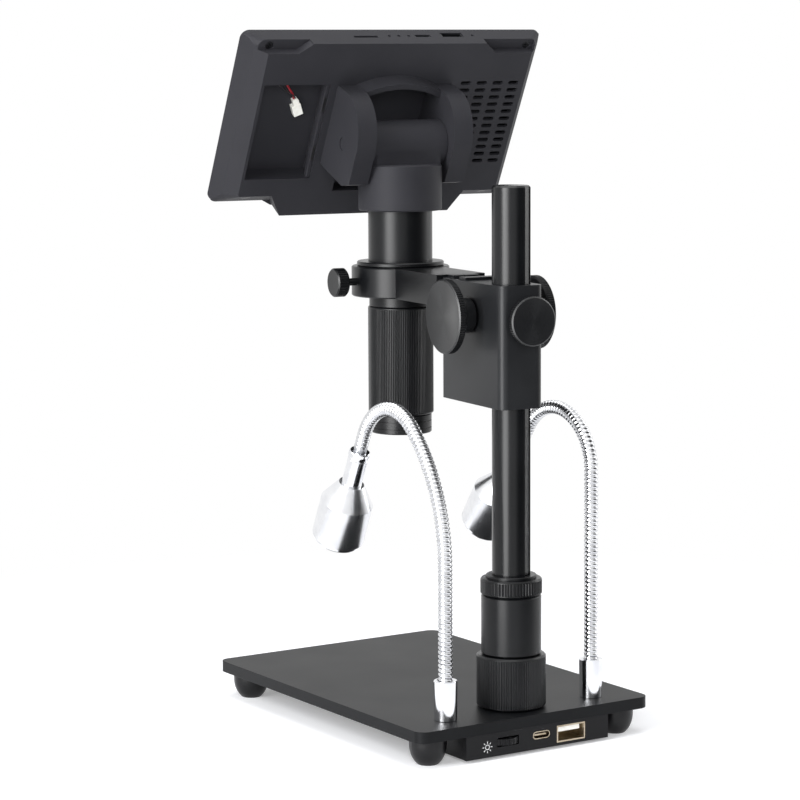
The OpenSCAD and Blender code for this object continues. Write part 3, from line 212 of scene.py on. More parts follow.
both = addNode(tree, "ShaderNodeMixShader", None, Fac=fade.outputs["Result"], _1=near.outputs[0], _2=white.outputs[0])
floorPath = addNode(tree, "ShaderNodeLightPath")
farGlossy = addNode(tree, "ShaderNodeMath", {"operation": "MULTIPLY"}, _0=fade.outputs["Result"],
                    _1=floorPath.outputs["Is Glossy Ray"])
clear = addNode(tree, "ShaderNodeBsdfTransparent")
seenFloor = addNode(tree, "ShaderNodeMixShader", None, Fac=farGlossy.outputs["Value"],
                    _1=both.outputs[0], _2=clear.outputs[0])
addNode(tree, "ShaderNodeOutputMaterial", None, Surface=seenFloor.outputs[0])
floorMesh.materials.append(floorPaint)


def addLight(name, place, target, size, power):
    # Rectangular lamp that points at its target
    data = bpy.data.lights.new(name, "AREA")
    data.shape = "RECTANGLE"
    data.size, data.size_y = size
    data.energy = power
    light = bpy.data.objects.new(name, data)
    light.location = place
    light.rotation_mode = "QUATERNION"
    light.rotation_quaternion = (Vector(target) - Vector(place)).to_track_quat("-Z", "Y")
    scene.collection.objects.link(light)
    return light


lights = {  # metres and watts
    "leftSoftbox": {"place": (1.5, 0.35, 0.75), "target": (0, 0, 0.12), "size": (0.6, 1.3), "power": 24},
    "rightSoftbox": {"place": (-1.6, 0.15, 0.7), "target": (0, 0, 0.12), "size": (0.3, 1.2), "power": 5},
    "overhead": {"place": (0.1, -0.1, 1.6), "target": (0, 0, 0), "size": (1.2, 1.2), "power": 11},
    "frontFill": {"place": (0.7, 1.3, 0.55), "target": (0, 0, 0.15), "size": (0.5, 0.5), "power": 11},
}
softboxes = {name: addLight(name, **values) for name, values in lights.items()}
softboxes["frontFill"].visible_glossy = False  # lightens hollows without a highlight of its own
print("camera, floor and light ready")


def startMaterial(name, hexColour, roughness, metallic=0.0, ior=1.5, coat=0.0, gloss=0.5):
    # Plain finish to build on; gloss is how strongly a surface that isn't metal mirrors
    material = bpy.data.materials.new(name)
    material.use_nodes = True
    shader = material.node_tree.nodes["Principled BSDF"]
    shader.inputs["Base Color"].default_value = linearColour(hexColour)
    shader.inputs["Roughness"].default_value = roughness
    shader.inputs["Metallic"].default_value = metallic
    if not metallic:  # a metal keeps the default IOR
        shader.inputs["IOR"].default_value = ior
        shader.inputs["Specular IOR Level"].default_value = gloss
    shader.inputs["Coat Weight"].default_value = coat
    shader.inputs["Coat Roughness"].default_value = 0.1
    return material, material.node_tree, shader


def grainOn(tree, shader, grainMm, depth, stretch=(1, 1, 1)):
    # Fine surface relief; grainMm is the real grain size
    coords = addNode(tree, "ShaderNodeTexCoord")
    mapping = addNode(tree, "ShaderNodeMapping", {"Scale": stretch}, Vector=coords.outputs["Object"])
    grain = addNode(tree, "ShaderNodeTexNoise", {"Scale": 1 / (grainMm * mm), "Detail": 3, "Roughness": 0.6},
                    Vector=mapping.outputs["Vector"])
    bump = addNode(tree, "ShaderNodeBump", {"Strength": depth, "Distance": 0.05 * mm}, Height=grain.outputs["Fac"])
    tree.links.new(bump.outputs["Normal"], shader.inputs["Normal"])


def shadeOn(tree, shader, lowHex, highHex, sizeMm, roughLow, roughHigh):
    # Slow change of tone and roughness, as handling and coating leave it
    coords = addNode(tree, "ShaderNodeTexCoord")
    cloud = addNode(tree, "ShaderNodeTexNoise", {"Scale": 1 / (sizeMm * mm), "Detail": 4},
                    Vector=coords.outputs["Object"])
    tone = addNode(tree, "ShaderNodeValToRGB", None, Fac=cloud.outputs["Fac"])
    tone.color_ramp.elements[0].position, tone.color_ramp.elements[1].position = 0.35, 0.65
    tone.color_ramp.elements[0].color = linearColour(lowHex)
    tone.color_ramp.elements[1].color = linearColour(highHex)
    tree.links.new(tone.outputs["Color"], shader.inputs["Base Color"])
    rough = addNode(tree, "ShaderNodeMapRange", {"To Min": roughLow, "To Max": roughHigh}, Value=cloud.outputs["Fac"])
    tree.links.new(rough.outputs["Result"], shader.inputs["Roughness"])


def blastedAnodised():
    # Bead-blasted, black anodised aluminium: an even satin black with a dust-fine grain
    material, tree, shader = startMaterial("blastedAnodised", "#1e1f21", 0.36, gloss=0.24)
    shadeOn(tree, shader, "#1c1d1f", "#212224", 26, 0.32, 0.4)
    grainOn(tree, shader, 0.25, 0.35)
    return material


def satinAnodised():
    # Turned, brushed and black anodised: deep black with one soft highlight down each barrel
    material, tree, shader = startMaterial("satinAnodised", "#0c0d0f", 0.3, gloss=0.26)
    shadeOn(tree, shader, "#0a0b0d", "#0f1012", 24, 0.27, 0.34)
    grainOn(tree, shader, 0.25, 0.3)
    return material


def drawnAnodised():
    # Extruded and black anodised: glossier, with faint lines along the draw
    material, tree, shader = startMaterial("drawnAnodised", "#0b0c0e", 0.24, gloss=0.3)
    shadeOn(tree, shader, "#0a0b0d", "#0f1012", 40, 0.2, 0.28)
    grainOn(tree, shader, 0.3, 0.25, stretch=(1, 1, 0.02))
    return material


def turnedAnodised():
    # Turned on a lathe, then anodised: rings round the turning axis, which is the piece's own z axis
    material, tree, shader = startMaterial("turnedAnodised", "#101113", 0.32, gloss=0.42)
    ringSpacing = 1.085 * mm  # coarser than the real tool marks, so that they show
    coords = addNode(tree, "ShaderNodeTexCoord")
    rings = addNode(tree, "ShaderNodeTexWave", {
        "wave_type": "RINGS", "rings_direction": "Z", "Scale": math.pi / 10 / ringSpacing, "Distortion": 0.6,
        "Detail": 2}, Vector=coords.outputs["Object"])
    bump = addNode(tree, "ShaderNodeBump", {"Strength": 0.18, "Distance": 0.05 * mm}, Height=rings.outputs["Fac"])
    tree.links.new(bump.outputs["Normal"], shader.inputs["Normal"])
    tangent = addNode(tree, "ShaderNodeTangent", {"direction_type": "RADIAL", "axis": "Z"})
    tree.links.new(tangent.outputs["Tangent"], shader.inputs["Tangent"])
    shader.inputs["Anisotropic"].default_value = 0.85
    return material


def paintedPlate():
    # Powder-coated steel plate: flat black with a fine orange peel
    material, tree, shader = startMaterial("paintedPlate", "#0d0e10", 0.42, gloss=0.15)
    shadeOn(tree, shader, "#0b0c0e", "#101113", 35, 0.38, 0.48)
    grainOn(tree, shader, 0.4, 0.4)
    return material


def sparkedAbs():
    # Moulded ABS with a spark-eroded texture: charcoal, fine pits, no gloss
    material, tree, shader = startMaterial("sparkedAbs", "#29292d", 0.58, gloss=0.16)
    shadeOn(tree, shader, "#27272b", "#2b2b2f", 30, 0.54, 0.64)
    grainOn(tree, shader, 0.35, 0.55)
    return material


def smoothAbs():
    # Polished moulding: nearly black with soft gloss
    material, tree, shader = startMaterial("smoothAbs", "#0c0c0e", 0.34, gloss=0.2)
    shadeOn(tree, shader, "#0a0a0c", "#0f0f11", 22, 0.3, 0.4)
    grainOn(tree, shader, 0.8, 0.12)
    return material


def feetRubber():
    # Black moulded rubber: dull with a slight bloom
    material, tree, shader = startMaterial("feetRubber", "#09090b", 0.34, gloss=0.3)
    shadeOn(tree, shader, "#08080a", "#0c0c0e", 8, 0.3, 0.42)
    grainOn(tree, shader, 0.5, 0.4)
    return material


def chromePlate():
    # Bright chrome over turned brass: a hazy mirror, as the fine turning marks spread each reflection
    material, tree, shader = startMaterial("chromePlate", "#e4e5e8", 0.13, metallic=1)
    shadeOn(tree, shader, "#dcdde1", "#ebecee", 9, 0.1, 0.17)
    return material


def brushedChrome():
    # The lamp bodies, brushed along their length before plating, which softens what they mirror
    material, tree, shader = startMaterial("brushedChrome", "#e2e3e6", 0.22, metallic=1)
    shadeOn(tree, shader, "#dadbdf", "#e9eaec", 9, 0.18, 0.27)
    grainOn(tree, shader, 0.5, 0.35, stretch=(1, 1, 0.03))
    return material


def woundSteel():
    # Plated steel strip of the goosenecks: bright crests with a little haze
    material, tree, shader = startMaterial("woundSteel", "#cfd0d3", 0.16, metallic=1)
    shadeOn(tree, shader, "#c4c5c8", "#d9dadc", 5, 0.12, 0.22)
    return material


def paintedGrooveShade():
    # The same strip where it folds inwards, painted dull grey: painted shade in the groove
    material, tree, shader = startMaterial("paintedGrooveShade", "#66676b", 0.4, metallic=1)
    shadeOn(tree, shader, "#5a5b5f", "#737478", 5, 0.34, 0.48)
    return material


def brightSteel():
    # Zinc-plated steel of screws and pins: light grey, its shine blurred by the plating
    material, tree, shader = startMaterial("brightSteel", "#a9abae", 0.3, metallic=1)
    shadeOn(tree, shader, "#9c9ea2", "#b4b6b9", 3, 0.24, 0.38)
    grainOn(tree, shader, 0.3, 0.2)
    return material


def paintedShadeBlack():
    # Painted shade: soot black with hardly a highlight, put on the screen's tab slots and on the screw holes of its
    # lower facet
    material, tree, shader = startMaterial("paintedShadeBlack", "#050506", 0.42, ior=1.53)
    shadeOn(tree, shader, "#050506", "#070708", 2, 0.36, 0.5)
    return material


def nickelShell():
    # Stamped socket shells under warm light: nickel with a straw tint
    material, tree, shader = startMaterial("nickelShell", "#b9aa92", 0.3, metallic=1)
    shadeOn(tree, shader, "#a89a84", "#c4b8a4", 4, 0.24, 0.36)
    return material


def milledAluminium():
    # Milled and black anodised slide: charcoal, with a glint of metal across the milling lines
    material, tree, shader = startMaterial("milledAluminium", "#1c1d20", 0.36, metallic=0.4)
    shadeOn(tree, shader, "#191a1d", "#202124", 12, 0.3, 0.42)
    grainOn(tree, shader, 0.25, 0.3, stretch=(1, 0.04, 1))
    return material


def circuitBoard():
    # Solder mask over copper: green lacquer with faint tracks
    material, tree, shader = startMaterial("circuitBoard", "#12402a", 0.3, ior=1.55, coat=0.3)
    coords = addNode(tree, "ShaderNodeTexCoord")
    tracks = addNode(tree, "ShaderNodeTexBrick", {
        "Scale": 1 / (5 * mm), "Mortar Size": 0.06, "Color1": linearColour("#12402a"),
        "Color2": linearColour("#164a31"), "Mortar": linearColour("#2f6b45")}, Vector=coords.outputs["Object"])
    tree.links.new(tracks.outputs["Color"], shader.inputs["Base Color"])
    return material


def nylonWhite():
    # Moulded nylon connector: milky white
    material, tree, shader = startMaterial("nylonWhite", "#f3f2ec", 0.4, ior=1.53)
    shader.inputs["Subsurface Weight"].default_value = 0.15
    shader.inputs["Subsurface Radius"].default_value = (mm, mm, mm)
    shadeOn(tree, shader, "#efeee7", "#f7f6f1", 2, 0.36, 0.46)
    return material


def screenGlass():
    # Cover glass over a dark panel: nearly black, with sharp and faint reflections
    material, tree, shader = startMaterial("screenGlass", "#08090b", 0.05, ior=1.52, coat=0.5)
    shadeOn(tree, shader, "#07080a", "#0b0c0f", 60, 0.04, 0.07)
    return material


def coatedLens():
    # Coated optical glass: dark with a violet and green cast
    material, tree, shader = startMaterial("coatedLens", "#0b0d16", 0.03, ior=1.6, coat=1)
    facing = addNode(tree, "ShaderNodeLayerWeight", {"Blend": 0.35})
    tint = addNode(tree, "ShaderNodeValToRGB", None, Fac=facing.outputs["Facing"])
    tint.color_ramp.elements[0].color = linearColour("#141033")
    tint.color_ramp.elements[1].color = linearColour("#0d2b22")
    tree.links.new(tint.outputs["Color"], shader.inputs["Base Color"])
    return material


def frostedCover():
    # Frosted acrylic over the diode: warm white that lets some light through
    material, tree, shader = startMaterial("frostedCover", "#f2efe4", 0.35, ior=1.49)
    shader.inputs["Transmission Weight"].default_value = 0.4
    shadeOn(tree, shader, "#ece8da", "#f7f5ec", 3, 0.3, 0.42)
    return material


def pvcSheath(name, hexColour, paleHex):
    # Soft PVC wire covering: waxy, with a broad highlight
    material, tree, shader = startMaterial(name, hexColour, 0.42, ior=1.53)
    shadeOn(tree, shader, hexColour, paleHex, 2, 0.36, 0.5)
    return material


def inkWhite():
    # Screen-printed ink: flat off-white
    material, tree, shader = startMaterial("inkWhite", "#d9dadb", 0.5)
    shadeOn(tree, shader, "#cfd0d1", "#e2e3e4", 2, 0.45, 0.55)
    return material


blasted, drawn, turned, plateCoat = blastedAnodised(), drawnAnodised(), turnedAnodised(), paintedPlate()
satin = satinAnodised()
spark, smooth, rubber, chrome = sparkedAbs(), smoothAbs(), feetRubber(), chromePlate()
steel, nickel, milled = brightSteel(), nickelShell(), milledAluminium()
board, nylon, glass, lens = circuitBoard(), nylonWhite(), screenGlass(), coatedLens()
frost, ink = frostedCover(), inkWhite()
brushed, wound, grooveShade = brushedChrome(), woundSteel(), paintedGrooveShade()
redLead, blackLead = pvcSheath("redLead", "#8c1420", "#9c1c28"), pvcSheath("blackLead", "#141416", "#1c1c1f")
shadeBlack = paintedShadeBlack()

nodeFinish = {
    "stage_plate": plateCoat, "rubber_feet": rubber, "foot_screws": steel, "control_box": smooth,
    "rear_panel": smooth, "control_board": board, "usb_a_shell": nickel, "usb_a_tongue": nylon,
    "usb_c_socket": nickel, "dimmer_pot": smooth, "dimmer_wheel": smooth, "lamp_ferrules": chrome,
    "column_rod": drawn, "column_bolt": steel, "column_sleeve": satin, "base_ring": satin,
    "collar_nut": satin, "carriage_block": blasted, "guide_key": steel, "shaft_bushes": smooth,
    "clamp_knob": blasted, "pinion_shaft": steel, "focus_knobs": blasted, "rack_slide": milled,
    "focus_arm": satin, "arm_screws": steel, "ring_screw": satin, "camera_tube": satin,
    "tube_flange": satin, "lens_barrel": satin, "focus_ring": satin, "lens_hood": satin,
    "lenses": lens, "sensor_board": board, "camera_cap": spark, "hinge_pin": spark,
    "screen_shell": spark, "screen_bezel": spark, "cover_glass": glass, "lcd_panel": glass,
    "main_board": smooth, "top_sockets": milled, "shell_screws": milled, "battery_connector": nylon,
}
familyFinish = {"menu_button": smooth, "lamp_optics": frost, "ball_end": steel, "": chrome}  # "" takes the rest
for name, node in nodes.items():
    family = next(word for word in familyFinish if name.startswith(word))
    finish = nodeFinish.setdefault(name, familyFinish[family])
    node.data.materials.clear()
    node.data.materials.append(finish)
    node.data.shade_smooth()
    node.data.set_sharp_from_angle(angle=math.radians(32))
print("materials on", len(nodes), "nodes")


def dressPiece(piece, body, finish, replaced=()):
    # Finish and body of the piece, and the nodes that it stands for, which it hides
    piece.data.materials.clear()
    piece.data.materials.append(finish)
    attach(piece, body)
    if replaced:
        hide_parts(*replaced)
    return piece


# The screen in its own frame, in millimetres: x lateral, y to the back, z up
screen = {
    "seam": -27.3, "facet": -22.1, "back": -16.3, "top": 42, "halfSeam": 75.3, "halfFacet": 71.3, "halfBack": 66.2,
    "bottomSeam": -46.0, "bottomFacet": -41.5, "bottomBack": -36.9, "cornerRadius": 4, "cornerSteps": 8,
    "bayFloor": -25.1, "bayRight": 32.3, "bayTop": 21.2, "bayBottom": -27.8,
}


def meshFrom(work, name):
    # Ends the building of a mesh, with its faces outwards
    bmesh.ops.recalc_face_normals(work, faces=work.faces)
    mesh = bpy.data.meshes.new(name)
    work.to_mesh(mesh)
    work.free()
    return mesh


def meshOf(name, vertices, faces):
    # Mesh from corners in millimetres
    work = bmesh.new()
    made = [work.verts.new(Vector(v) * mm) for v in vertices]
    for face in faces:
        work.faces.new([made[k] for k in face])
    return meshFrom(work, name)


def loftMesh(name, sections):
    # Closed solid through sections of equal length
    count = len(sections[0])
    vertices = [v for section in sections for v in section]
    faces = [tuple(range(count)), tuple(range((len(sections) - 1) * count, len(sections) * count))]
    for s in range(len(sections) - 1):
        for k in range(count):
            j = (k + 1) % count
            faces.append((s * count + k, s * count + j, (s + 1) * count + j, (s + 1) * count + k))
    return meshOf(name, vertices, faces)


def cornerCutter(side, top):
    # Wedge that rounds one corner of the screen over all its depth
    radius, steps, margin = screen["cornerRadius"], screen["cornerSteps"], 1.5
    sections = []
    for key, beyond in (("seam", 4), ("seam", 0), ("facet", 0), ("back", -1.2)):
        word = key.capitalize()
        half = screen["half" + word]
        height = screen["top"] if top else screen["bottom" + word]
        upSign = 1 if top else -1
        outline = [(margin, margin), (margin, -radius)]
        for k in range(steps + 1):
            angle = math.pi / 2 * k / steps
            outline.append((radius * (math.cos(angle) - 1), radius * (math.sin(angle) - 1)))
        outline.append((-radius, margin))
        sections.append([(side * (half + a), screen[key] - beyond, height + upSign * b) for a, b in outline])
    return loftMesh("corner", sections)


def withoutCorners(mesh):
    # The screen's mesh with its four corners rounded by wedges
    host = bpy.data.objects.new("host", mesh)
    scene.collection.objects.link(host)
    cutters = []
    for side in (-1, 1):
        for top in (True, False):
            cutter = addPiece("cutter", cornerCutter(side, top), screenPlace)
            cutters.append(cutter)
            cut = host.modifiers.new("corner", "BOOLEAN")
            cut.operation = "DIFFERENCE"
            cut.solver = "EXACT"
            cut.object = cutter
    bpy.context.view_layer.update()
    done = bpy.data.meshes.new_from_object(host.evaluated_get(bpy.context.evaluated_depsgraph_get()))
    for spare in [host] + cutters:
        bpy.data.objects.remove(spare)
    return done


edgeRounds = {"segments": 2, "fromAngle": 38, "weld": 0.002, "flat": 0.4}  # degrees and millimetres


def softEdged(name, body, width):
    # The node's own shape, with small rounds on its edges
    mesh = nodes[name].data.copy()
    if "custom_normal" in mesh.attributes:
        mesh.attributes.remove(mesh.attributes["custom_normal"])
    work = bmesh.new()
    work.from_mesh(mesh)
    bmesh.ops.remove_doubles(work, verts=work.verts, dist=edgeRounds["weld"] * mm)
    bmesh.ops.dissolve_limit(work, angle_limit=math.radians(edgeRounds["flat"]), verts=work.verts, edges=work.edges)
    work.to_mesh(mesh)
    work.free()
    if name in ("screen_shell", "screen_bezel"):
        mesh = withoutCorners(mesh)
    piece = addPiece(name + "_finished", mesh)
    bevel = piece.modifiers.new("edges", "BEVEL")
    bevel.width = width * mm
    bevel.segments = edgeRounds["segments"]
    bevel.limit_method = "ANGLE"
    bevel.angle_limit = math.radians(edgeRounds["fromAngle"])
    bevel.use_clamp_overlap = True
    bevel.harden_normals = True
    return dressPiece(piece, body, nodeFinish[name], [name])


softEdges = {  # body and width of the round in millimetres
    "stage_plate": ("base", 0.5), "rear_panel": ("base", 0.3), "control_box": ("base", 0.4),
    "carriage_block": ("carriage", 0.35), "focus_arm": ("arm", 0.3), "rack_slide": ("arm", 0.15),
    "camera_cap": ("camera", 0.4), "screen_shell": ("screen", 0.45), "screen_bezel": ("screen", 0.4),
}
for name, (body, width) in softEdges.items():
    softEdged(name, body, width)
print("edges softened on", len(softEdges), "pieces")


knurlStep = 0.01  # millimetres over which a plain side turns into a knurled one
ridgeCut = (0, 0, 0, 0.8, 1, 0.8)  # depth round one ridge and its groove, as a share of the groove


def turnedMesh(name, rows, steps, ridges=0, depth=0.0):
    # Solid of revolution about z from rows of (height, radius), in millimetres; a third value marks a knurled row
    count = ridges * len(ridgeCut) or steps
    work = bmesh.new()
    rings = []
    for height, radius, *knurled in rows:
        if radius == 0:
            rings.append([work.verts.new((0, 0, height * mm))] * count)
            continue
        ring = []
        for k in range(count):
            angle = 2 * math.pi * k / count
            r = radius - (depth * ridgeCut[k % len(ridgeCut)] if knurled else 0)
            ring.append(work.verts.new((r * mm * math.cos(angle), r * mm * math.sin(angle), height * mm)))
        rings.append(ring)
    for low, high in zip(rings, rings[1:]):
        for k in range(count):
            j = (k + 1) % count
            corners = []
            for vertex in (low[k], low[j], high[j], high[k]):
                if vertex not in corners:
                    corners.append(vertex)
            if len(corners) > 2:
                work.faces.new(corners)
    mesh = meshFrom(work, name)
    mesh.shade_smooth()
    mesh.set_sharp_from_angle(angle=math.radians(30))
    return mesh


def turnedPiece(name, place, body, finish, rows, replaced=(), steps=96, ridges=0, depth=0.0):
    # A turned mesh in its place, dressed
    piece = addPiece(name, turnedMesh(name, rows, steps, ridges, depth), place)
    return dressPiece(piece, body, finish, replaced)


def knurledCollar(shape, low, high):
    # Rows of a ring with a knurled side, chamfered rims and an open bore
    outer, bore = shape["radius"], shape["bore"]
    edge, side = shape["edge"], shape["edge"] + shape["land"]
    return [
        (low, bore), (low, outer - edge), (low + edge, outer), (low + side, outer),
        (low + side + knurlStep, outer, True), (high - side - knurlStep, outer, True),
        (high - side, outer), (high - edge, outer), (high, outer - edge), (high, bore), (low, bore),
    ]


def lowHigh(name):
    # Heights of a node's lower and upper end, in millimetres
    low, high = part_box(name)
    return low.z / mm, high.z / mm


baseRing = {"radius": 14.9, "bore": 10.46, "edge": 0.7, "land": 0.2, "ridges": 84, "groove": 0.3}
turnedPiece("base_ring_knurled", columnPlace, "lock_ring", satin, knurledCollar(baseRing, *lowHigh("base_ring")),
            ["base_ring"], ridges=baseRing["ridges"], depth=baseRing["groove"])

collarNut = {"radius": 13.2, "bore": 8.26, "height": 7.1, "seat": 10.8, "ridges": 60, "groove": 0.35}
outer, bore, seat = collarNut["radius"], collarNut["bore"], collarNut["seat"]
low, high = lowHigh("collar_nut")
top = low + collarNut["height"]
turnedPiece("collar_nut_knurled", columnPlace, "collar", satin, [
    (low, bore), (low, outer - 0.7), (low + 0.6, outer), (low + 1.0, outer), (low + 1.1, outer, True),
    (top - 0.9, outer, True), (top - 0.8, outer), (top - 0.5, outer - 0.1), (top, outer - 0.6), (top, seat),
    (high - 0.2, seat), (high, seat - 0.2), (high, bore), (low, bore)],
    ["collar_nut"], ridges=collarNut["ridges"], depth=collarNut["groove"])

focusRing = {"radius": 14.9, "bore": 10.06, "edge": 0.4, "land": 0.4, "ridges": 112, "groove": 0.28}
turnedPiece("focus_ring_knurled", cameraPlace, "zoom_ring", satin, knurledCollar(focusRing, *lowHigh("focus_ring")),
            ["focus_ring"], ridges=focusRing["ridges"], depth=focusRing["groove"])

focusKnob = {"radius": 15.9, "rim": 3.7, "hub": 7.4, "hubLength": 9.1, "bore": 3.02, "start": 10.6, "ridges": 96,
             "groove": 0.4}
outer, hub, rimStart = focusKnob["radius"], focusKnob["hub"], focusKnob["hubLength"]
rimEnd = rimStart + focusKnob["rim"]
knobRows = [
    (0, focusKnob["bore"]), (0, hub - 0.4), (0.4, hub), (rimStart, hub), (rimStart, outer - 0.7),
    (rimStart + 0.5, outer), (rimStart + 0.5 + knurlStep, outer, True), (rimEnd - 0.5 - knurlStep, outer, True),
    (rimEnd - 0.5, outer), (rimEnd, outer - 0.6), (rimEnd - 0.02, outer - 1), (rimEnd - 0.12, outer - 1.2),
    (rimEnd - 0.12, 0)]
shaftAt = Vector(joints["focus_turn"]["pos_m"])
for side, word in ((1, "left"), (-1, "right")):
    outward = lateral * side
    place = placeOn(shaftAt + outward * focusKnob["start"] * mm, rearward, outward.cross(rearward))
    turnedPiece("focus_knob_" + word, place, "focus", turned, knobRows, ["focus_knobs"] if side == 1 else (),
                ridges=focusKnob["ridges"], depth=focusKnob["groove"])

clampKnob = {"radius": 10.45, "rim": 3.3, "hub": 4.6, "reach": 6.3, "start": 10.4, "screw": 2.6, "screwLength": 1.8,
             "ridges": 64, "groove": 0.35}
outer, hub, rimStart = clampKnob["radius"], clampKnob["hub"], clampKnob["reach"]
rimEnd, screwEnd = rimStart + clampKnob["rim"], -clampKnob["screwLength"]
clampAt = Vector(joints["clamp_turn"]["pos_m"]) + rearward * clampKnob["start"] * mm
turnedPiece("clamp_knob_knurled", placeOn(clampAt, upward, lateral), "clamp", turned, [
    (screwEnd, 0), (screwEnd, clampKnob["screw"]), (0, clampKnob["screw"]), (0, hub - 0.3), (0.3, hub),
    (rimStart, hub), (rimStart, outer - 0.55), (rimStart + 0.5, outer), (rimStart + 0.5 + knurlStep, outer, True),
    (rimEnd - 0.5 - knurlStep, outer, True), (rimEnd - 0.5, outer), (rimEnd, outer - 0.55),
    (rimEnd - 0.1, outer - 0.95), (rimEnd - 0.12, 0)],
    ["clamp_knob"], ridges=clampKnob["ridges"], depth=clampKnob["groove"])

ringScrew = {"radius": 6.5, "shank": 1.7, "headFrom": 13.4, "headTo": 19.1, "start": 14.9, "ridges": 36,
             "groove": 0.4}
outer, shank, low, high = (ringScrew[key] for key in ("radius", "shank", "headFrom", "headTo"))
screwAt = Vector(joints["thumb_turn"]["pos_m"]) + lateral * ringScrew["start"] * mm
turnedPiece("ring_screw_knurled", placeOn(screwAt, rearward, upward), "thumb", satin, [
    (0, 0), (0, shank), (low - 0.2, shank), (low, 2 * shank), (low, outer - 0.6), (low + 0.6, outer),
    (low + 0.6 + knurlStep, outer, True), (high - 0.6, outer, True), (high - 0.6 + knurlStep, outer),
    (high, outer - 0.6), (high - 0.1, 0)],
    ["ring_screw"], ridges=ringScrew["ridges"], depth=ringScrew["groove"])
print("knurled pieces turned")


gooseneck = {
    "radius": 3.1, "pitch": 1.9, "groove": 0.65,
    "crest": 0.62,  # power that flattens the rib's crest
    # Faces within this share of the pitch each side of the groove take a darker steel: painted shade in the groove
    "grooveShade": 0.16,  # share of the pitch on each side of the groove that is dull
    "sides": 28, "perRib": 8, "start": 5, "ferrule": 17, "ballGap": 1.0,
}
routes = {  # (length, bend radius) from the foot up, in millimetres; 0 is straight
    "right": [(60.1, 0), (63.7, 75), (44.53, 24), (6.5, 0)],
    "left": [(93.8, 0), (64.53, 25.5), (12.5, 0)],
}


def advance(point, length, radius):
    # The point (y, z, heading) moved along a straight or an arc
    y, z, heading = point
    if radius == 0:
        return (y - length * math.sin(heading), z + length * math.cos(heading), heading)
    new = heading + length / radius
    return (y - radius * (math.cos(heading) - math.cos(new)), z + radius * (math.sin(new) - math.sin(heading)), new)


def routePoint(route, distance, startY):
    # The point a distance along a gooseneck's route
    point = (startY, gooseneck["start"], 0)
    for length, radius in route[:-1]:
        if distance <= length:
            return advance(point, distance, radius)
        point = advance(point, length, radius)
        distance -= length
    return advance(point, distance, route[-1][1])


def gooseneckPiece(word):
    # One helical rib wound along the route, with plain ends
    swing = joints["lamp_swing_" + word]["pos_m"]
    route, pitch, sides = routes[word], gooseneck["pitch"], gooseneck["sides"]
    total = sum(length for length, _ in route) - gooseneck["ballGap"]
    plainLow = gooseneck["ferrule"] - gooseneck["start"] - 1
    steps = int((total - plainLow) / pitch * gooseneck["perRib"])
    work = bmesh.new()
    rings = []
    for row in range(steps + 1):
        distance = plainLow + (total - plainLow) * row / steps
        y, z, heading = routePoint(route, distance, swing[1] / mm)
        ring = []
        for k in range(sides):
            angle = 2 * math.pi * k / sides
            turn = (distance / pitch + k / sides) % 1
            groove = gooseneck["groove"] * (1 - math.sin(math.pi * turn) ** gooseneck["crest"])
            r = gooseneck["radius"] - groove
            ring.append(work.verts.new((
                swing[0] + r * mm * math.cos(angle),
                (y + r * math.sin(angle) * math.cos(heading)) * mm,
                (z + r * math.sin(angle) * math.sin(heading)) * mm)))
        rings.append(ring)
    for row, (low, high) in enumerate(zip(rings, rings[1:])):
        distance = plainLow + (total - plainLow) * (row + 0.5) / steps
        for k in range(sides):
            j = (k + 1) % sides
            face = work.faces.new((low[k], low[j], high[j], high[k]))
            turn = (distance / pitch + (k + 0.5) / sides) % 1
            # Faces near the groove get the second, darker steel: painted shade
            face.material_index = int(min(turn, 1 - turn) < gooseneck["grooveShade"])
    work.faces.new(rings[0][::-1])
    work.faces.new(rings[-1])
    mesh = meshFrom(work, "gooseneck_" + word)
    mesh.shade_smooth()
    piece = dressPiece(addPiece("gooseneck_wound_" + word, mesh), "lamp_arm_" + word, wound, ["gooseneck_" + word])
    piece.data.materials.append(grooveShade)


lamp = {"neck": 4.5, "neckTop": 1.4, "collar": 4.75, "neckEnd": 18, "spigotEnd": 21.6, "wireHole": 1.5,
        "coneStart": 5.9, "coneEnd": 27.4, "body": 11.7, "bodyEnd": 46, "wall": 1.6, "rimEnd": 48.4, "rimHole": 8.2}


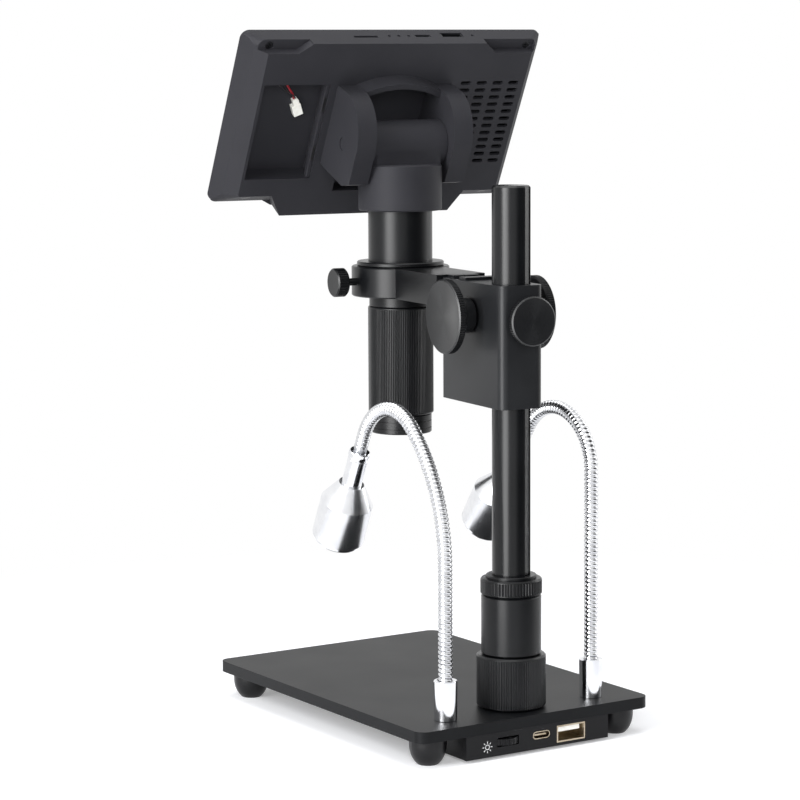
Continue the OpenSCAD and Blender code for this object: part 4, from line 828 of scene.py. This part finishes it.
def lampPieces(word):
    # Neck, housing, rim and lens of one lamp, in millimetres along its beam from the ball's centre
    pivot = Vector(joints["lamp_nod_" + word]["pos_m"])
    heading = sum(length / radius for length, radius in routes[word] if radius)
    beam = Vector((0, -math.sin(heading), math.cos(heading)))
    place = placeOn(pivot, alongX, beam.cross(alongX))
    head = "lamp_head_" + word
    neck, top, ring, hole = lamp["neck"], lamp["neckTop"], lamp["collar"], lamp["wireHole"]
    neckEnd, spigotEnd, coneEnd = lamp["neckEnd"], lamp["spigotEnd"], lamp["coneEnd"]
    body, end, rimEnd, rimHole = lamp["body"], lamp["bodyEnd"], lamp["rimEnd"], lamp["rimHole"]
    inner, cone = body - lamp["wall"], lamp["coneStart"]
    turnedPiece("lamp_neck_turned_" + word, place, head, chrome, [
        (top, 2.75), (top, neck - 0.3), (top + 0.3, neck + 0.1), (top + 1, ring), (top + 2.2, ring),
        (top + 2.8, neck + 0.1), (top + 3, neck - 0.2), (top + 3.5, neck - 0.25), (top + 3.8, neck),
        (neckEnd + 0.5, neck), (spigotEnd, neck), (spigotEnd, hole), (top + 3, hole), (top + 1.6, hole + 0.1),
        (top, 2.75)], ["lamp_neck_" + word])
    turnedPiece("lamp_housing_turned_" + word, place, head, brushed, [
        (neckEnd, neck + 0.02), (neckEnd, cone - 0.3), (neckEnd + 0.3, cone), (coneEnd - 0.3, body - 0.2),
        (coneEnd, body), (end - 0.6, body), (end - 0.2, body - 0.1), (end, body - 0.5), (end, inner),
        (coneEnd, inner), (coneEnd, hole), (spigotEnd + 0.1, hole), (spigotEnd + 0.1, neck + 0.02),
        (neckEnd, neck + 0.02)], ["lamp_housing_" + word])
    turnedPiece("lamp_rim_" + word, place, head, chrome, [
        (end - 0.8, inner - 0.05), (end - 0.1, inner - 0.05), (rimEnd - 0.4, rimHole + 1.8), (rimEnd, rimHole + 1.5),
        (rimEnd, rimHole + 0.4), (rimEnd - 0.4, rimHole), (end - 0.8, rimHole), (end - 0.8, inner - 0.05)])
    turnedPiece("lamp_lens_" + word, place, head, frost, [
        (end - 1.4, 0), (end - 1.4, rimHole - 0.05), (end + 0.6, rimHole - 0.05), (end + 1.3, 6.5), (end + 1.7, 3.5),
        (end + 1.8, 0)], ["lamp_optics_" + word])


ferrule = {"bore": 3.3, "foot": 4.7, "top": 5.05, "height": gooseneck["ferrule"]}
bore, foot, height = ferrule["bore"], ferrule["foot"], ferrule["height"]
for word in routes:
    gooseneckPiece(word)
    lampPieces(word)
for word in routes:
    at = joints["lamp_swing_" + word]["pos_m"]
    place = placeOn((at[0], at[1], 0), alongX, alongY)
    turnedPiece("lamp_ferrule_" + word, place, "base", chrome, [
        (0, bore), (0, foot), (0.2, foot + 0.15), (9, foot + 0.25), (height - 0.4, ferrule["top"]),
        (height, ferrule["top"] - 0.25), (height, bore + 0.6), (height - 0.6, bore), (0, bore)],
        ["lamp_ferrules"] if word == "right" else ())
print("lamps made")

symbol = {"x": 26.3, "z": -10.6, "core": 1.0, "gap": 0.6, "ray": 0.9, "rays": 8, "line": 0.28, "proud": 0.04,
          "sunk": 0.02, "ringSteps": 24}
halfLine, proud, sunk = symbol["line"] / 2, symbol["proud"], -symbol["sunk"]
low = symbol["core"] + symbol["gap"]
high = low + symbol["ray"]
work = bmesh.new()
for k in range(symbol["rays"]):
    turn = Matrix.Rotation(2 * math.pi * k / symbol["rays"], 4, "Y")
    corners = [(-halfLine, low), (halfLine, low), (halfLine, high), (-halfLine, high)]
    front, back = ([work.verts.new(turn @ Vector((x, y, z)) * mm) for x, z in corners] for y in (proud, sunk))
    work.faces.new(front)
    work.faces.new(back[::-1])
    for a in range(4):
        work.faces.new((front[a], back[a], back[(a + 1) % 4], front[(a + 1) % 4]))
ringAngles = [2 * math.pi * k / symbol["ringSteps"] for k in range(symbol["ringSteps"])]
ringVerts = []
for radius in (symbol["core"] + halfLine, symbol["core"] - halfLine):
    for y in (proud, sunk):
        ringVerts.append([work.verts.new(Vector((radius * math.cos(angle), y, radius * math.sin(angle))) * mm)
                          for angle in ringAngles])
for a, b in ((0, 1), (1, 3), (3, 2), (2, 0)):
    for k in range(symbol["ringSteps"]):
        j = (k + 1) % symbol["ringSteps"]
        work.faces.new((ringVerts[a][k], ringVerts[a][j], ringVerts[b][j], ringVerts[b][k]))
symbolMesh = meshFrom(work, "brightness_symbol")
symbolPlace = Matrix.Translation((symbol["x"] * mm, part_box("rear_panel")[1].y, symbol["z"] * mm))
dressPiece(addPiece("brightness_symbol", symbolMesh, symbolPlace), "base", ink)


def boxesPiece(name, boxes, finish, replaced=(), soften=0.15, turnBy=0.0, about=Vector((0, 0, 0))):
    # Boxes in the screen's frame, turned about its depth axis where asked
    vertices, faces = [], []
    for low, high in boxes:
        start = len(vertices)
        for k in range(8):
            corner = Vector([(high if k >> axis & 1 else low)[axis] for axis in range(3)])
            vertices.append(Matrix.Rotation(turnBy, 4, "Y") @ (corner - about) + about)
        faces += [tuple(start + k for k in face) for face in
                  ((0, 1, 3, 2), (4, 6, 7, 5), (0, 4, 5, 1), (2, 3, 7, 6), (0, 2, 6, 4), (1, 5, 7, 3))]
    piece = addPiece(name, meshOf(name, vertices, faces), screenPlace)
    bevel = piece.modifiers.new("edges", "BEVEL")
    bevel.width = soften * mm
    bevel.segments = 2
    return dressPiece(piece, "screen", finish, replaced)


def tubePiece(name, points, radius, finish, sides=10, steps=24):
    # Smooth tube through points in the screen's frame
    path = []
    ends = [2 * Vector(points[0]) - Vector(points[1])] + [Vector(v) for v in points]
    ends.append(2 * Vector(points[-1]) - Vector(points[-2]))
    for k in range(1, len(ends) - 2):
        a, b, c, d = ends[k - 1:k + 3]
        for s in range(steps):
            w = s / steps
            path.append(0.5 * (2 * b + (c - a) * w + (2 * a - 5 * b + 4 * c - d) * w ** 2
                               + (3 * b - a - 3 * c + d) * w ** 3))
    path.append(ends[-2])
    sections = []
    for k, point in enumerate(path):
        along = (path[min(k + 1, len(path) - 1)] - path[max(k - 1, 0)]).normalized()
        side = along.cross(alongY).normalized()
        other = side.cross(along)
        sections.append([point + (side * math.cos(2 * math.pi * s / sides)
                                  + other * math.sin(2 * math.pi * s / sides)) * radius for s in range(sides)])
    piece = addPiece(name, loftMesh(name, sections), screenPlace)
    piece.data.shade_smooth()
    return dressPiece(piece, "screen", finish)


connector = {"from": 41.5, "to": 45.9, "low": 1.7, "waist": 7.4, "high": 10.4, "thick": 3.2, "turn": 25,
             "turnAt": (43.7, 6.0)}
seatAt = screen["bayFloor"] + 0.02
edge, low, waist = connector["from"], connector["low"], connector["waist"]
boxesPiece("battery_connector_body", [
    ((edge, seatAt, low), (connector["to"], seatAt + connector["thick"], waist)),
    ((edge + 0.6, seatAt + 0.2, waist - 0.4), (edge + 3.2, seatAt + 2.8, connector["high"])),
    ((edge + 0.1, seatAt + 1.1, low + 4.7), (edge + 0.8, seatAt + 2.3, low + 7.3)),
], nylon, ["battery_connector"], soften=0.2, turnBy=math.radians(connector["turn"]),
    about=Vector((connector["turnAt"][0], seatAt, connector["turnAt"][1])))
leads = {  # points listed, from the connector to the bay's upper edge
    "red": {"radius": 0.5, "finish": redLead, "points": [
        (45.3, -23.6, 9.8), (46.8, -22.8, 12.6), (50.4, -22.3, 17.4), (53.0, -22.4, 21.9)]},
    "black": {"radius": 0.35, "finish": blackLead, "points": [
        (44.6, -23.6, 10.1), (47.4, -22.4, 12.8), (54.2, -21.8, 17.6), (59.5, -22.2, 21.9)]},
}
for word, lead in leads.items():
    tubePiece("battery_lead_" + word, **lead)

ledge = {"from": screen["bayRight"] + 0.02, "to": screen["bayRight"] + 1.9, "low": -19.6, "high": -16.75}
boxesPiece("bay_ledge", [((ledge["from"], ledge["low"], screen["bayBottom"] + 0.05),
                          (ledge["to"], ledge["high"], screen["bayTop"] - 0.05))], spark, soften=0.3)
# Black boxes just proud of the ledge: painted shade of the tab slots
tabSlots = {"upper": (6.9, 14.9), "lower": (-18.7, -10.9)}
for word, (low, high) in tabSlots.items():
    boxesPiece("tab_slot_" + word, [((ledge["from"] + 0.45, ledge["high"] - 0.3, low),
                                     (ledge["to"] - 0.35, ledge["high"] + 0.03, high))], shadeBlack, soften=0.02)

# Black discs just proud of the lower facet: painted shade of its screw holes
edgeScrew = {"lateral": 60.8, "back": -19.2, "up": -39.2, "radius": 2.1, "proud": 0.12, "sunk": 0.4}
downBack = Vector((0, 0.62, -0.785)).normalized()  # out of the screen's lower facet
radius, proud, sunk = edgeScrew["radius"], edgeScrew["proud"], -edgeScrew["sunk"]
for word, side in (("left", 1), ("right", -1)):
    at = Vector((side * edgeScrew["lateral"], edgeScrew["back"], edgeScrew["up"])) * mm
    place = screenPlace @ placeOn(at, alongX, downBack.cross(alongX))
    turnedPiece("edge_screw_" + word, place, "screen", shadeBlack, [
        (sunk, 0), (sunk, radius), (0, radius), (proud, radius - 0.15), (proud, 0)], steps=32)
print("finishing pieces made")
